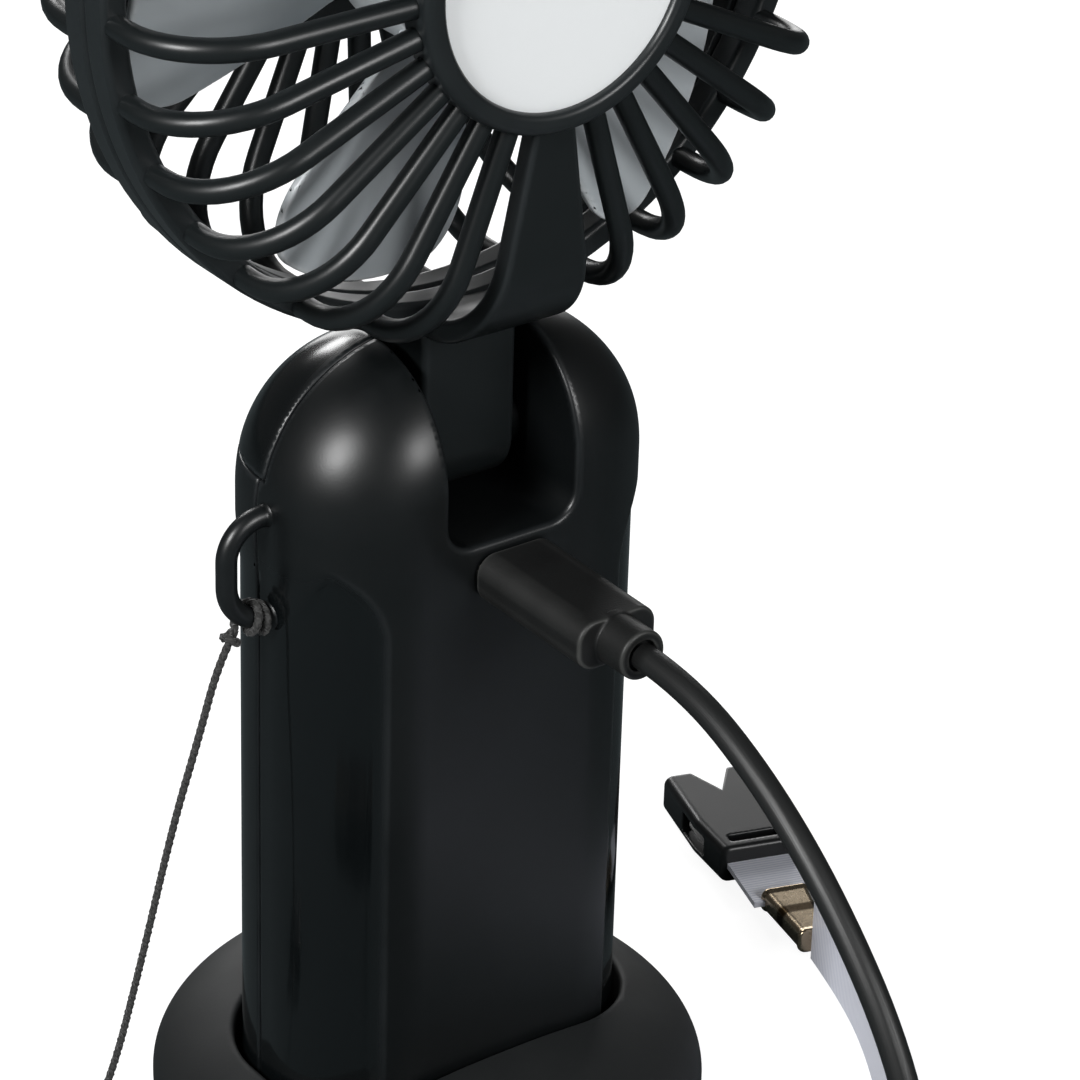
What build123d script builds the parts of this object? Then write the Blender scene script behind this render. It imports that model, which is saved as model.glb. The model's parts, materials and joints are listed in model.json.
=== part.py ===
import os
from math import cos, pi, radians, sin, sqrt, tan

from build123d import *

os.makedirs("parts", exist_ok=True)

# A rechargeable personal fan standing in its desk base, with its charging lead and lanyard.
# Millimetres. The origin is under the middle of the base, +Z is up, +Y is the rear,
# where the lead plugs in, and +X is the side of the lanyard eyelet.

# Fits
gap = 0.3  # between pieces that move apart
running_fit = 0.05  # radial, shaft in bush and pin in barrel
screw_fit = 0.05

# Desk base
base_radius = 34.0
base_height = 14.0
base_belly = 3.6  # top of its upright side
base_dome_reach = 21.0  # from that side in to the flat top
base_edge = 2.0
base_lift = 0.6
pad_thickness = 0.8
pad_outer = 28.3
pad_inner = 24.4
plate_radius = 29.0
plate_thickness = 1.8
socket_floor = 1.8
socket_fit = 0.4
socket_lip = 0.7
base_screw_x = 10.0
base_screw_y = 19.5
base_screw_radius = 1.25
base_screw_head = 2.2
base_screw_head_height = 1.0
base_screw_length = 6.0

# Handle
handle_width = 49.2
handle_depth = 29.4
handle_flat = 2.4  # flat middle of its narrow sides
shoulder_round = 18.5
wall = 2.2
hinge_above_cell = 19.2
parting_y = -0.9
cover_parting_y = 0.1
cover_step = 0.3  # lower edge of the top cover, above the hinge
seam_gap = 0.2
grip_depth = 0.6
panel_half = 16.0
grip_top = 6.0  # below the hinge
grip_arch = 11.0
notch_half = 8.86
notch_depth = 7.0  # notch floor below the hinge
notch_corner = 3.5
notch_floor_wall = 2.0

# Inside the handle
cell_to_board = 1.6
cell_length = 65.2
cell_edge = 0.8
cell_from_rear_wall = 0.5
board_side_room = 7.6
board_height = 38.0
board_thickness = 1.2
standoff_radius = 2.0
switch_side = 6.0
switch_height = 1.6
switch_body = 1.2
button_below_hinge = 29.0
button_radius = 6.5
button_proud = 0.8
button_round = 0.5
button_flange = 1.0
button_flange_height = 0.6
button_travel = 0.5
lamp_radius = 0.8
lamp_pitch = 3.2
lamp_count = 4
lamp_above_button = 12.0
lamp_proud = 0.2

# Hinge and neck
neck_width = 12.8
neck_thickness = 11.5
pin_radius = 1.5
pin_seat = 7.0
washer_clear = 0.1
washer_gap = 0.15

# Charging socket and lead
socket_below_hinge = 11.0
receptacle_width = 9.0
receptacle_height = 3.3
receptacle_length = 7.4
receptacle_wall = 0.3
receptacle_boss = 1.2
receptacle_inset = 0.4
receptacle_flat = 0.1  # straight part of its round ends
tongue_fit = 0.1
tongue_length = 6.6
tongue_room = 0.2
plug_width = 10.6
plug_height = 6.0
plug_corner = 2.4
plug_round = 1.2
plug_gap = 0.3
plug_length = 19.4
collar_radius = 3.1
collar_length = 4.7
cable_diameter = 3.2

# Eyelet on the side of the handle
eyelet_y = 1.0
eyelet_bar = 2.5
eyelet_space = 4.5
eyelet_height = 15.4
eyelet_below_hinge = 9.7
eyelet_upper_round = 4.6
eyelet_lower_round = 5.2
eyelet_root = 2.0

# Head
head_clear = 1.5  # ring above the handle
label_y = 20.95
rim_radius = 18.2
rim_proud = 1.0
rim_depth = 4.0
rim_round = 0.9
label_radius = 15.6
label_thickness = 0.5
hub_plate = 2.4
bar_count = 29
bar_diameter = 2.7
bar_root_depth = 1.85
bar_corner_depth = 3.2
bar_bend = 11.5
bar_root_sink = 1.0
front_bar_count = 30
cage_radius = 45.15
ring_depth = 16.0
ring_thickness = 4.0
ring_width = 3.2
ring_lip = 0.3  # beyond the bars
strut_root_width = 4.8
strut_foot_width = 14.6
strut_root_sink = 2.0
strut_gap_angle = 18.0
front_cap_radius = 15.0
front_cap_crown = 1.6
front_cap_skirt = 1.6

# Motor and impeller
motor_radius = 11.0
motor_length = 14.0
motor_cup_wall = 1.4
motor_cup_depth = 5.0
motor_edge = 0.8
bush_radius = 2.5
bush_length = 2.0
shaft_radius = 1.0
shaft_below_bush = 8.0
shaft_reach = 7.0
rotor_gap = 1.2
impeller_hub_radius = 14.5
impeller_wall = 1.5
impeller_skirt = 12.0
impeller_boss = 2.6
blade_count = 5
blade_tip_gap = 2.0
blade_thickness = 1.2
blade_chord = 46.0
blade_root_pitch = 34.0
blade_tip_pitch = 18.0
blade_sweep = 29.0
blade_foot = 15.0
blade_overrun = 4.0  # of the untrimmed blade, past its tip

# Charging lead put away on the floor, behind the base
lead_clear = 0.6  # room under the coil for its tie
coil_radius = 24.0
coil_pitch = 4.0
coil_layer = 4.0
coil_turns = 3
tail_length = 26.0
tie_width = 6.0
tie_thickness = 0.5
tie_slack = 0.6
tie_turn = 150.0
usb_a_width = 15.6
usb_a_height = 7.6
usb_a_length = 20.0
usb_a_corner = 2.0
usb_a_shell_width = 12.0
usb_a_shell_height = 4.5
usb_a_shell_length = 18.5
usb_a_shell_wall = 0.35
usb_a_shell_root = 4.0
usb_a_insert_height = 1.9

# Lanyard
cord_diameter = 1.0
knot_radius = 2.1
knot_turn = 50.0  # down round the eyelet's lower bend
cord_from_knot = 0.7
cord_below_knot = 1.8
buckle_width = 13.0
buckle_height = 5.5
buckle_wall = 1.1
buckle_corner = 1.2
female_length = 20.0
female_tail = 5.0
side_window = 7.5
male_body = 7.0
prong_length = 10.0
prong_width = 2.2
prong_height = 2.6
guide_width = 1.8
ribbon_width = 10.0
ribbon_thickness = 1.0
tab_length = 9.0
crimp_length = 11.0
crimp_width = 6.6
crimp_height = 3.4
crimp_neck = 4.2
crimp_corner = 1.0
crimp_lift = 1.0
roll_radius = 25.0
roll_pitch = 4.0
roll_turns = 3

# Levels worked out from the sizes above
plate_bottom = pad_thickness
plate_top = plate_bottom + plate_thickness
handle_bottom = plate_top + socket_floor
hinge_z = handle_bottom + wall + cell_length + hinge_above_cell
handle_top = hinge_z + handle_depth / 2
notch_floor = hinge_z - notch_depth
step_z = hinge_z + cover_step
half_width = handle_width / 2
half_depth = handle_depth / 2
handle_corner = half_depth - handle_flat / 2
barrel_radius = neck_thickness / 2
washer_radius = notch_depth - notch_corner - washer_clear
board_width = handle_width - 2 * board_side_room
board_standoff = gap + button_flange_height + button_travel + gap + switch_height
board_room = board_standoff + board_thickness + cell_to_board
cell_radius = half_depth - wall - (board_room + cell_from_rear_wall) / 2
ring_outer = cage_radius + bar_diameter / 2 + ring_lip
hub_z = handle_top + head_clear + ring_outer
hub_centre = (0, label_y, hub_z)
ring_inner = ring_outer - ring_width
cage_middle = ring_depth + ring_thickness


def facing_front(y, height=0):
    """Upright plane at a given Y: its x is +X, its y is +Z, and it extrudes towards the front."""
    return Plane(origin=(0, y, height), x_dir=(1, 0, 0), z_dir=(0, -1, 0))


def head_plane(depth):
    """Plane square to the fan's axis, a given depth in front of the label."""
    return facing_front(label_y - depth, hub_z)


def half_plane(angle):
    """Plane through the fan's axis: its x runs outwards and its y runs towards the front."""
    outward = Vector(sin(radians(angle)), 0, cos(radians(angle)))
    return Plane(origin=hub_centre, x_dir=outward, z_dir=outward.cross(Vector(0, -1, 0)))


def finish(builder, label):
    builder.part.label = label
    export_step(builder.part, f"parts/{label}.step")


def turn_radii(points):
    """The largest radius for each corner of a route that both of its runs leave room for."""
    run_share = 0.45
    radii = []
    for before, corner, after in zip(points, points[1:], points[2:]):
        run_in = Vector(corner) - Vector(before)
        run_out = Vector(after) - Vector(corner)
        half_turn = radians(run_in.get_angle(run_out) / 2)
        radii.append(run_share * min(run_in.length, run_out.length) / tan(half_turn))
    return radii


def report_route(name, points, solid, section_area, line):
    radii = ", ".join(f"{radius:.1f}" for radius in turn_radii(points))
    share = solid.volume / (section_area * line.length)
    print(f"{name}: length {line.length:.1f}, radii {radii}, volume share {share:.4f}")


# Desk base

with BuildPart() as base_shell:
    with BuildSketch(Plane.XZ):
        with BuildLine():
            flat_radius = base_radius - base_dome_reach
            Polyline((0, base_height), (0, base_lift), (base_radius - base_edge, base_lift))
            Line((base_radius - base_edge, base_lift), (base_radius, base_lift + base_edge))
            Line((base_radius, base_lift + base_edge), (base_radius, base_belly))
            EllipticalCenterArc((flat_radius, base_belly), base_dome_reach, base_height - base_belly)
            Line((flat_radius, base_height), (0, base_height))
        make_face()
    revolve(axis=Axis.Z)
    with BuildSketch(Plane.XY.offset(handle_bottom)):
        RectangleRounded(
            handle_width + 2 * socket_fit, handle_depth + 2 * socket_fit, handle_corner + socket_fit
        )
    extrude(amount=base_height, mode=Mode.SUBTRACT)
    socket_edges = base_shell.edges(Select.LAST)
    fillet([edge for edge in socket_edges if edge.bounding_box().min.Z > base_belly + wall], socket_lip)
    with BuildSketch():
        Circle(plate_radius + gap)
    extrude(amount=plate_top, mode=Mode.SUBTRACT)
    with BuildSketch(Plane.XY.offset(plate_top)):
        with GridLocations(2 * base_screw_x, 2 * base_screw_y, 2, 2):
            Circle(base_screw_radius + screw_fit)
    extrude(amount=base_screw_length, mode=Mode.SUBTRACT)
finish(base_shell, "base_shell")

with BuildPart() as base_plate:
    with BuildSketch(Plane.XY.offset(plate_bottom)):
        Circle(plate_radius)
    extrude(amount=plate_thickness)
    with Locations(base_plate.faces().sort_by(Axis.Z)[0]):
        with GridLocations(2 * base_screw_x, 2 * base_screw_y, 2, 2):
            CounterBoreHole(
                base_screw_radius + screw_fit, base_screw_head + screw_fit, base_screw_head_height
            )
finish(base_plate, "base_plate")

with BuildPart() as base_pad:
    with BuildSketch():
        Circle(pad_outer)
        Circle(pad_inner, mode=Mode.SUBTRACT)
    extrude(amount=pad_thickness)
finish(base_pad, "base_pad")

with BuildPart() as base_screws:
    with BuildSketch(Plane.XY.offset(plate_bottom)):
        with GridLocations(2 * base_screw_x, 2 * base_screw_y, 2, 2):
            Circle(base_screw_head)
    extrude(amount=base_screw_head_height)
    with BuildSketch(Plane.XY.offset(plate_bottom + base_screw_head_height)):
        with GridLocations(2 * base_screw_x, 2 * base_screw_y, 2, 2):
            Circle(base_screw_radius)
    extrude(amount=base_screw_length - base_screw_head_height)
finish(base_screws, "base_screws")

# Handle: one blank with a domed top, split into rear shell, front shell and top cover


def shoulder_section(turn):
    """Height, half width and half depth of the domed top, a given turn round the shoulder."""
    height = handle_top - shoulder_round + shoulder_round * sin(radians(turn))
    half_w = half_width - shoulder_round + shoulder_round * cos(radians(turn))
    above_hinge = max(0, height - hinge_z)
    return height, half_w, sqrt(half_depth**2 - above_hinge**2)


shoulder_turns = (0, 14, 28, 42, 54, 64, 73, 80)

with BuildPart() as handle_blank:
    with BuildSketch(Plane.XY.offset(handle_bottom)):
        RectangleRounded(handle_width, handle_depth, handle_corner)
    extrude(amount=handle_top - shoulder_round - handle_bottom)
    for turn in shoulder_turns:
        height, half_w, half_d = shoulder_section(turn)
        with BuildSketch(Plane.XY.offset(height)):
            RectangleRounded(2 * half_w, 2 * half_d, handle_corner * half_d / half_depth)
    loft()

# The grips are shallow side recesses under an arch, the same on both shells
with BuildPart() as grip_recess:
    top_z = hinge_z - grip_top
    with BuildSketch(facing_front(handle_depth)):
        for side in (-1, 1):
            with BuildLine():
                inner_x = side * panel_half
                outer_x = side * handle_width
                Polyline(
                    (inner_x, top_z - grip_arch),
                    (inner_x, handle_bottom - wall),
                    (outer_x, handle_bottom - wall),
                    (outer_x, top_z),
                    (inner_x + side * grip_arch, top_z),
                )
                RadiusArc(
                    (inner_x + side * grip_arch, top_z), (inner_x, top_z - grip_arch), -side * grip_arch
                )
            make_face()
    extrude(amount=2 * handle_depth)
    with BuildSketch(Plane.XY.offset(handle_bottom - 2 * wall)):
        RectangleRounded(
            handle_width - 2 * grip_depth, handle_depth - 2 * grip_depth, handle_corner - grip_depth
        )
    extrude(amount=handle_top, mode=Mode.SUBTRACT)

# Space inside the shells, under the notch
cavity_top = notch_floor - notch_floor_wall
cavity_half_depth = half_depth - wall
with BuildPart() as handle_cavity:
    with BuildSketch(Plane.XY.offset(handle_bottom + wall)):
        RectangleRounded(handle_width - 2 * wall, handle_depth - 2 * wall, handle_corner - wall)
    extrude(amount=cavity_top - handle_bottom - wall)

# Notch at the top of the rear, where the neck folds
notch_front = barrel_radius + gap
with BuildPart() as hinge_notch:
    with BuildSketch(facing_front(handle_depth)):
        with Locations((0, (notch_floor + handle_top) / 2 + notch_corner)):
            RectangleRounded(2 * notch_half, handle_top - notch_floor + 2 * notch_corner, notch_corner)
    extrude(amount=handle_depth + notch_front)

# Bores for the hinge pin, straight through both cheeks of the notch; only the rear shell grips it
pin_half = notch_half + pin_seat
with BuildPart() as pin_bore:
    with BuildSketch(Plane.YZ.offset(-pin_half)):
        with Locations((0, hinge_z)):
            Circle(pin_radius)
    extrude(amount=2 * pin_half)

with BuildPart() as pin_room:
    with BuildSketch(Plane.YZ.offset(-pin_half - gap)):
        with Locations((0, hinge_z)):
            Circle(pin_radius + gap)
    extrude(amount=2 * (pin_half + gap))

socket_z = hinge_z - socket_below_hinge
receptacle_front = half_depth - receptacle_length

with BuildPart() as handle_rear_shell:
    add(handle_blank)
    split(bisect_by=facing_front(parting_y), keep=Keep.BOTTOM)
    with BuildSketch(facing_front(cover_parting_y)):
        with Locations((0, (step_z + handle_top) / 2 + shoulder_round / 2)):
            Rectangle(2 * handle_width, handle_top - step_z + shoulder_round)
    extrude(amount=handle_depth, mode=Mode.SUBTRACT)
    add(handle_cavity, mode=Mode.SUBTRACT)
    with BuildSketch(facing_front(half_depth - wall)):
        with Locations((0, socket_z)):
            Rectangle(
                receptacle_width + 2 * receptacle_boss,
                receptacle_height + 2 * receptacle_boss,
            )
    extrude(amount=receptacle_length - wall)
    add(hinge_notch, mode=Mode.SUBTRACT)
    add(grip_recess, mode=Mode.SUBTRACT)
    add(pin_bore, mode=Mode.SUBTRACT)
    with BuildSketch(facing_front(handle_depth)):
        with Locations((0, socket_z)):
            RectangleRounded(receptacle_width, receptacle_height, (receptacle_height - receptacle_flat) / 2)
    extrude(amount=handle_depth - receptacle_front, mode=Mode.SUBTRACT)
finish(handle_rear_shell, "handle_rear_shell")

button_z = hinge_z - button_below_hinge
lamp_z = button_z + lamp_above_button
board_back = -cavity_half_depth + board_standoff + board_thickness
board_middle_z = button_z

with BuildPart() as handle_front_shell:
    add(handle_blank)
    split(bisect_by=facing_front(parting_y - seam_gap), keep=Keep.TOP)
    split(bisect_by=Plane.XY.offset(step_z), keep=Keep.BOTTOM)
    add(handle_cavity, mode=Mode.SUBTRACT)
    add(hinge_notch, mode=Mode.SUBTRACT)
    add(grip_recess, mode=Mode.SUBTRACT)
    add(pin_room, mode=Mode.SUBTRACT)
    with BuildSketch(facing_front(-cavity_half_depth + board_standoff)):
        with Locations((0, board_middle_z)):
            with GridLocations(
                board_width - 3 * standoff_radius, board_height - 3 * standoff_radius, 2, 2
            ):
                Circle(standoff_radius)
    extrude(amount=board_standoff + wall / 2)
    with BuildSketch(facing_front(0)):
        with Locations((0, button_z)):
            Circle(button_radius + gap)
        with Locations((0, lamp_z)):
            with GridLocations(lamp_pitch, lamp_pitch, lamp_count, 1):
                Circle(lamp_radius)
    extrude(amount=handle_depth, mode=Mode.SUBTRACT)
finish(handle_front_shell, "handle_front_shell")

with BuildPart() as handle_top_cover:
    add(handle_blank)
    split(bisect_by=facing_front(cover_parting_y - seam_gap), keep=Keep.TOP)
    split(bisect_by=Plane.XY.offset(step_z + seam_gap), keep=Keep.TOP)
    add(hinge_notch, mode=Mode.SUBTRACT)
    add(pin_room, mode=Mode.SUBTRACT)
finish(handle_top_cover, "handle_top_cover")

# Eyelet: a round bar bent to a D, with its ends in the side of the rear shell
eyelet_middle_z = hinge_z - eyelet_below_hinge
eyelet_x = half_width - grip_depth + eyelet_space + eyelet_bar / 2
eyelet_half = eyelet_height / 2 - eyelet_bar / 2
with BuildPart() as lanyard_eyelet:
    with BuildLine(facing_front(eyelet_y)) as eyelet_line:
        FilletPolyline(
            (half_width - eyelet_root, eyelet_middle_z + eyelet_half),
            (eyelet_x, eyelet_middle_z + eyelet_half),
            (eyelet_x, eyelet_middle_z - eyelet_half),
            (half_width - eyelet_root, eyelet_middle_z - eyelet_half),
            radius=[eyelet_upper_round, eyelet_lower_round],
        )
    with BuildSketch(Plane(eyelet_line.line @ 0, z_dir=eyelet_line.line % 0)):
        Circle(eyelet_bar / 2)
    sweep()
    add(handle_rear_shell, mode=Mode.SUBTRACT)
finish(lanyard_eyelet, "lanyard_eyelet")

# Inside the handle: cell, board, switch, lamps and charging receptacle

with BuildPart() as battery_cell:
    cell_y = cavity_half_depth - cell_from_rear_wall - cell_radius
    with BuildSketch(Plane.XY.offset(handle_bottom + wall)):
        with Locations((0, cell_y)):
            Circle(cell_radius)
    extrude(amount=cell_length)
    chamfer(battery_cell.faces().sort_by(Axis.Z)[-1].edges(), cell_edge)
finish(battery_cell, "battery_cell")

with BuildPart() as circuit_board:
    with BuildSketch(facing_front(board_back)):
        with Locations((0, board_middle_z)):
            RectangleRounded(board_width, board_height, standoff_radius)
    extrude(amount=board_thickness)
finish(circuit_board, "circuit_board")

with BuildPart() as tact_switch:
    with BuildSketch(facing_front(board_back - board_thickness)):
        with Locations((0, button_z)):
            Rectangle(switch_side, switch_side)
    extrude(amount=switch_body)
    with BuildSketch(facing_front(board_back - board_thickness)):
        with Locations((0, button_z)):
            Circle(switch_side / 4)
    extrude(amount=switch_height)
finish(tact_switch, "tact_switch")

with BuildPart() as power_button:
    with BuildSketch(facing_front(-half_depth + wall)):
        with Locations((0, button_z)):
            Circle(button_radius)
    extrude(amount=wall + button_proud)
    fillet(power_button.faces().sort_by(Axis.Y)[0].edges(), button_round)
    with BuildSketch(facing_front(-cavity_half_depth + gap + button_flange_height)):
        with Locations((0, button_z)):
            Circle(button_radius + button_flange)
    extrude(amount=button_flange_height)
    with BuildSketch(facing_front(-cavity_half_depth + gap)):
        with Locations((0, button_z)):
            Circle(button_radius)
    extrude(amount=gap)
finish(power_button, "power_button")

with BuildPart() as charge_lamps:
    with BuildSketch(facing_front(-half_depth + wall)):
        with Locations((0, lamp_z)):
            with GridLocations(lamp_pitch, lamp_pitch, lamp_count, 1):
                Circle(lamp_radius)
    extrude(amount=wall + lamp_proud)
finish(charge_lamps, "charge_lamps")

with BuildPart() as usb_c_socket:
    with BuildSketch(facing_front(half_depth - receptacle_inset)):
        with Locations((0, socket_z)):
            RectangleRounded(receptacle_width, receptacle_height, (receptacle_height - receptacle_flat) / 2)
    extrude(amount=receptacle_length - receptacle_inset)
    with BuildSketch(facing_front(half_depth)):
        with Locations((0, socket_z)):
            RectangleRounded(
                receptacle_width - 2 * receptacle_wall,
                receptacle_height - 2 * receptacle_wall,
                (receptacle_height - receptacle_flat) / 2 - receptacle_wall,
            )
    extrude(amount=tongue_length + tongue_room, mode=Mode.SUBTRACT)
finish(usb_c_socket, "usb_c_socket")

# Hinge: pin and two spacing washers in the notch

with BuildPart() as hinge_pin:
    with BuildSketch(Plane.YZ.offset(-pin_half)):
        with Locations((0, hinge_z)):
            Circle(pin_radius)
    extrude(amount=2 * pin_half)
finish(hinge_pin, "hinge_pin")

with BuildPart() as hinge_washers:
    washer_thickness = notch_half - neck_width / 2 - washer_gap
    for side in (-1, 1):
        with BuildSketch(Plane.YZ.offset(side * notch_half)):
            with Locations((0, hinge_z)):
                Circle(washer_radius)
                Circle(pin_radius, mode=Mode.SUBTRACT)
        extrude(amount=-side * washer_thickness)
finish(hinge_washers, "hinge_washers")

# Head: neck, rear grille, front grille, caps and motor

bar_gap_angle = (360 - 2 * strut_gap_angle) / (bar_count - 1)
bar_angles = [180 + strut_gap_angle + bar_gap_angle * index for index in range(bar_count)]

with BuildPart() as grille_bar:
    with BuildLine(half_plane(0)) as bar_line:
        FilletPolyline(
            (rim_radius - bar_root_sink, bar_root_depth),
            (cage_radius, bar_corner_depth),
            (cage_radius, cage_middle - ring_thickness / 2),
            radius=bar_bend,
        )
    with BuildSketch(Plane(bar_line.line @ 0, z_dir=bar_line.line % 0)):
        RegularPolygon(bar_diameter / 2, 8)
    sweep()


def around_hub(solid, angle):
    return solid.rotate(Axis(hub_centre, (0, 1, 0)), angle)


with BuildPart() as strut:
    half_bar = bar_diameter / 2
    with BuildSketch(half_plane(180)):
        with BuildLine():
            outside = FilletPolyline(
                (rim_radius - bar_root_sink, bar_root_depth - half_bar),
                (cage_radius + half_bar, bar_corner_depth - half_bar),
                (cage_radius + half_bar, cage_middle),
                radius=bar_bend + half_bar,
            )
            inside = FilletPolyline(
                (rim_radius - bar_root_sink, bar_root_depth + half_bar),
                (cage_radius - half_bar, bar_corner_depth + half_bar),
                (cage_radius - half_bar, cage_middle),
                radius=bar_bend - half_bar,
            )
            Line(outside @ 0, inside @ 0)
            Line(outside @ 1, inside @ 1)
        make_face()
    extrude(amount=strut_foot_width, both=True)
    with BuildSketch(head_plane(-rim_depth)):
        with BuildLine():
            Polyline(
                (-strut_root_width / 2, -rim_radius + strut_root_sink),
                (strut_root_width / 2, -rim_radius + strut_root_sink),
                (strut_foot_width / 2, -cage_radius),
                (strut_foot_width / 2, -ring_outer - bar_diameter),
                (-strut_foot_width / 2, -ring_outer - bar_diameter),
                (-strut_foot_width / 2, -cage_radius),
                close=True,
            )
        make_face()
    extrude(amount=2 * cage_middle, mode=Mode.INTERSECT)

with BuildPart() as neck:
    with BuildSketch(Plane.YZ.offset(-neck_width / 2)):
        with Locations((0, hinge_z)):
            Circle(barrel_radius)
        with Locations((0, (hinge_z + hub_z) / 2)):
            Rectangle(neck_thickness, hub_z - hinge_z)
    extrude(amount=neck_width)
    with BuildSketch(Plane.YZ.offset(-neck_width)):
        with Locations((0, hinge_z)):
            Circle(pin_radius + running_fit)
    extrude(amount=2 * neck_width, mode=Mode.SUBTRACT)
    with BuildSketch(facing_front(handle_depth, hub_z)):
        Circle(ring_outer)
    extrude(amount=2 * handle_depth, mode=Mode.SUBTRACT)
    add(strut, mode=Mode.SUBTRACT)
finish(neck, "neck")

with BuildPart() as rear_grille:
    with BuildSketch(head_plane(-rim_proud)):
        Circle(rim_radius)
    extrude(amount=rim_proud + rim_depth)
    fillet(rear_grille.edges().filter_by(GeomType.CIRCLE), rim_round)
    with BuildSketch(head_plane(-rim_proud)):
        Circle(label_radius)
    extrude(amount=rim_proud + label_thickness, mode=Mode.SUBTRACT)
    with BuildSketch(head_plane(label_thickness + hub_plate)):
        Circle(rim_radius - wall)
    extrude(amount=rim_depth, mode=Mode.SUBTRACT)
    with BuildSketch(head_plane(label_thickness + hub_plate)):
        Circle(motor_radius + motor_cup_wall)
        Circle(motor_radius, mode=Mode.SUBTRACT)
    extrude(amount=motor_cup_depth)
    with BuildSketch(head_plane(ring_depth)):
        Circle(ring_outer)
        Circle(ring_inner, mode=Mode.SUBTRACT)
    extrude(amount=ring_thickness)
    add(strut)
    add([around_hub(grille_bar.part, angle) for angle in bar_angles])
finish(rear_grille, "rear_grille")

# The front grille has the same bars, turned to face the other way about the joint of the rings
joint_plane = Plane(origin=(0, label_y - cage_middle, hub_z), z_dir=(0, -1, 0))
front_bar = mirror(grille_bar.part, about=joint_plane)
cap_seat = 2 * cage_middle - bar_root_depth + bar_diameter / 2

with BuildPart() as front_grille:
    with BuildSketch(head_plane(cage_middle)):
        Circle(ring_outer)
        Circle(ring_inner, mode=Mode.SUBTRACT)
    extrude(amount=ring_thickness)
    with BuildSketch(head_plane(cap_seat - bar_diameter)):
        Circle(rim_radius)
    extrude(amount=bar_diameter)
    add([around_hub(front_bar, 360 / front_bar_count * index) for index in range(front_bar_count)])
finish(front_grille, "front_grille")

with BuildPart() as front_cap:
    with BuildSketch(Plane.YZ) as cap_profile:
        with BuildLine():
            cap_back = label_y - cap_seat
            crown_y = cap_back - front_cap_skirt - front_cap_crown
            edge_y = cap_back - front_cap_skirt
            Polyline((crown_y, hub_z), (cap_back, hub_z), (cap_back, hub_z + front_cap_radius))
            Line((cap_back, hub_z + front_cap_radius), (edge_y, hub_z + front_cap_radius))
            crown_radius = (front_cap_radius**2 + front_cap_crown**2) / (2 * front_cap_crown)
            RadiusArc((edge_y, hub_z + front_cap_radius), (crown_y, hub_z), -crown_radius)
        make_face()
    revolve(axis=Axis(hub_centre, (0, 1, 0)))
finish(front_cap, "front_cap")

with BuildPart() as label_disc:
    with BuildSketch(head_plane(0)):
        Circle(label_radius)
    extrude(amount=label_thickness)
finish(label_disc, "label_disc")

motor_back = label_thickness + hub_plate
motor_front = motor_back + motor_length
with BuildPart() as motor_can:
    with BuildSketch(head_plane(motor_back)):
        Circle(motor_radius)
    extrude(amount=motor_length)
    chamfer(motor_can.faces().sort_by(Axis.Y)[0].edges(), motor_edge)
    with BuildSketch(head_plane(motor_front - bush_length)):
        Circle(bush_radius)
    extrude(amount=bush_length, mode=Mode.SUBTRACT)
    with BuildSketch(head_plane(motor_front - bush_length - shaft_below_bush)):
        Circle(shaft_radius + gap)
    extrude(amount=shaft_below_bush, mode=Mode.SUBTRACT)
finish(motor_can, "motor_can")

with BuildPart() as motor_bush:
    with BuildSketch(head_plane(motor_front - bush_length)):
        Circle(bush_radius)
        Circle(shaft_radius + running_fit, mode=Mode.SUBTRACT)
    extrude(amount=bush_length)
finish(motor_bush, "motor_bush")

# Rotor

shaft_start = motor_front - bush_length - shaft_below_bush + gap
shaft_end = motor_front + shaft_reach
with BuildPart() as motor_shaft:
    with BuildSketch(head_plane(shaft_start)):
        Circle(shaft_radius)
    extrude(amount=shaft_end - shaft_start)
finish(motor_shaft, "motor_shaft")

hub_front = shaft_end
blade_tip = ring_inner - blade_tip_gap
hub_back = hub_front - impeller_skirt
blade_middle = (hub_back + hub_front) / 2


def blade_plane(radius, pitch):
    """Plane square to the blade's span, at a radius, turned to the blade's pitch."""
    along = Vector(cos(radians(pitch)), -sin(radians(pitch)), 0)
    return Plane(
        origin=(0, label_y - blade_middle, hub_z + radius), x_dir=along, z_dir=(0, 0, 1)
    )


with BuildPart() as blade:
    root_radius = impeller_hub_radius - impeller_wall / 2
    for radius, pitch in ((root_radius, blade_root_pitch), (blade_tip + blade_overrun, blade_tip_pitch)):
        with BuildSketch(blade_plane(radius, pitch)):
            Rectangle(blade_chord, blade_thickness)
    loft()
    with BuildSketch(head_plane(0)):
        with BuildLine():
            sweep_angle = radians(blade_sweep)
            lead = (blade_tip * sin(sweep_angle), blade_tip * cos(sweep_angle))
            trail = (-lead[0], lead[1])
            foot = (blade_foot / 2, sqrt(root_radius**2 - blade_foot**2 / 4))
            RadiusArc(trail, lead, blade_tip)
            RadiusArc(lead, foot, blade_tip)
            Line(foot, (-foot[0], foot[1]))
            RadiusArc((-foot[0], foot[1]), trail, -blade_tip)
        make_face()
    extrude(amount=2 * cage_middle, mode=Mode.INTERSECT)

with BuildPart() as impeller:
    with BuildSketch(head_plane(hub_back)):
        Circle(impeller_hub_radius)
    extrude(amount=impeller_skirt)
    fillet(impeller.faces().sort_by(Axis.Y)[0].edges(), impeller_wall)
    with BuildSketch(head_plane(hub_back)):
        Circle(impeller_hub_radius - impeller_wall)
    extrude(amount=impeller_skirt - impeller_wall, mode=Mode.SUBTRACT)
    with BuildSketch(head_plane(motor_front + rotor_gap)):
        Circle(impeller_boss)
    extrude(amount=shaft_reach - rotor_gap)
    add([around_hub(blade.part, 360 / blade_count * index) for index in range(blade_count)])
    with BuildSketch(head_plane(0)):
        Circle(shaft_radius)
    extrude(amount=shaft_end, mode=Mode.SUBTRACT)
finish(impeller, "impeller")

# Charging lead: plug in the socket, a free stretch down to the floor, a coil and a second plug

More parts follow.
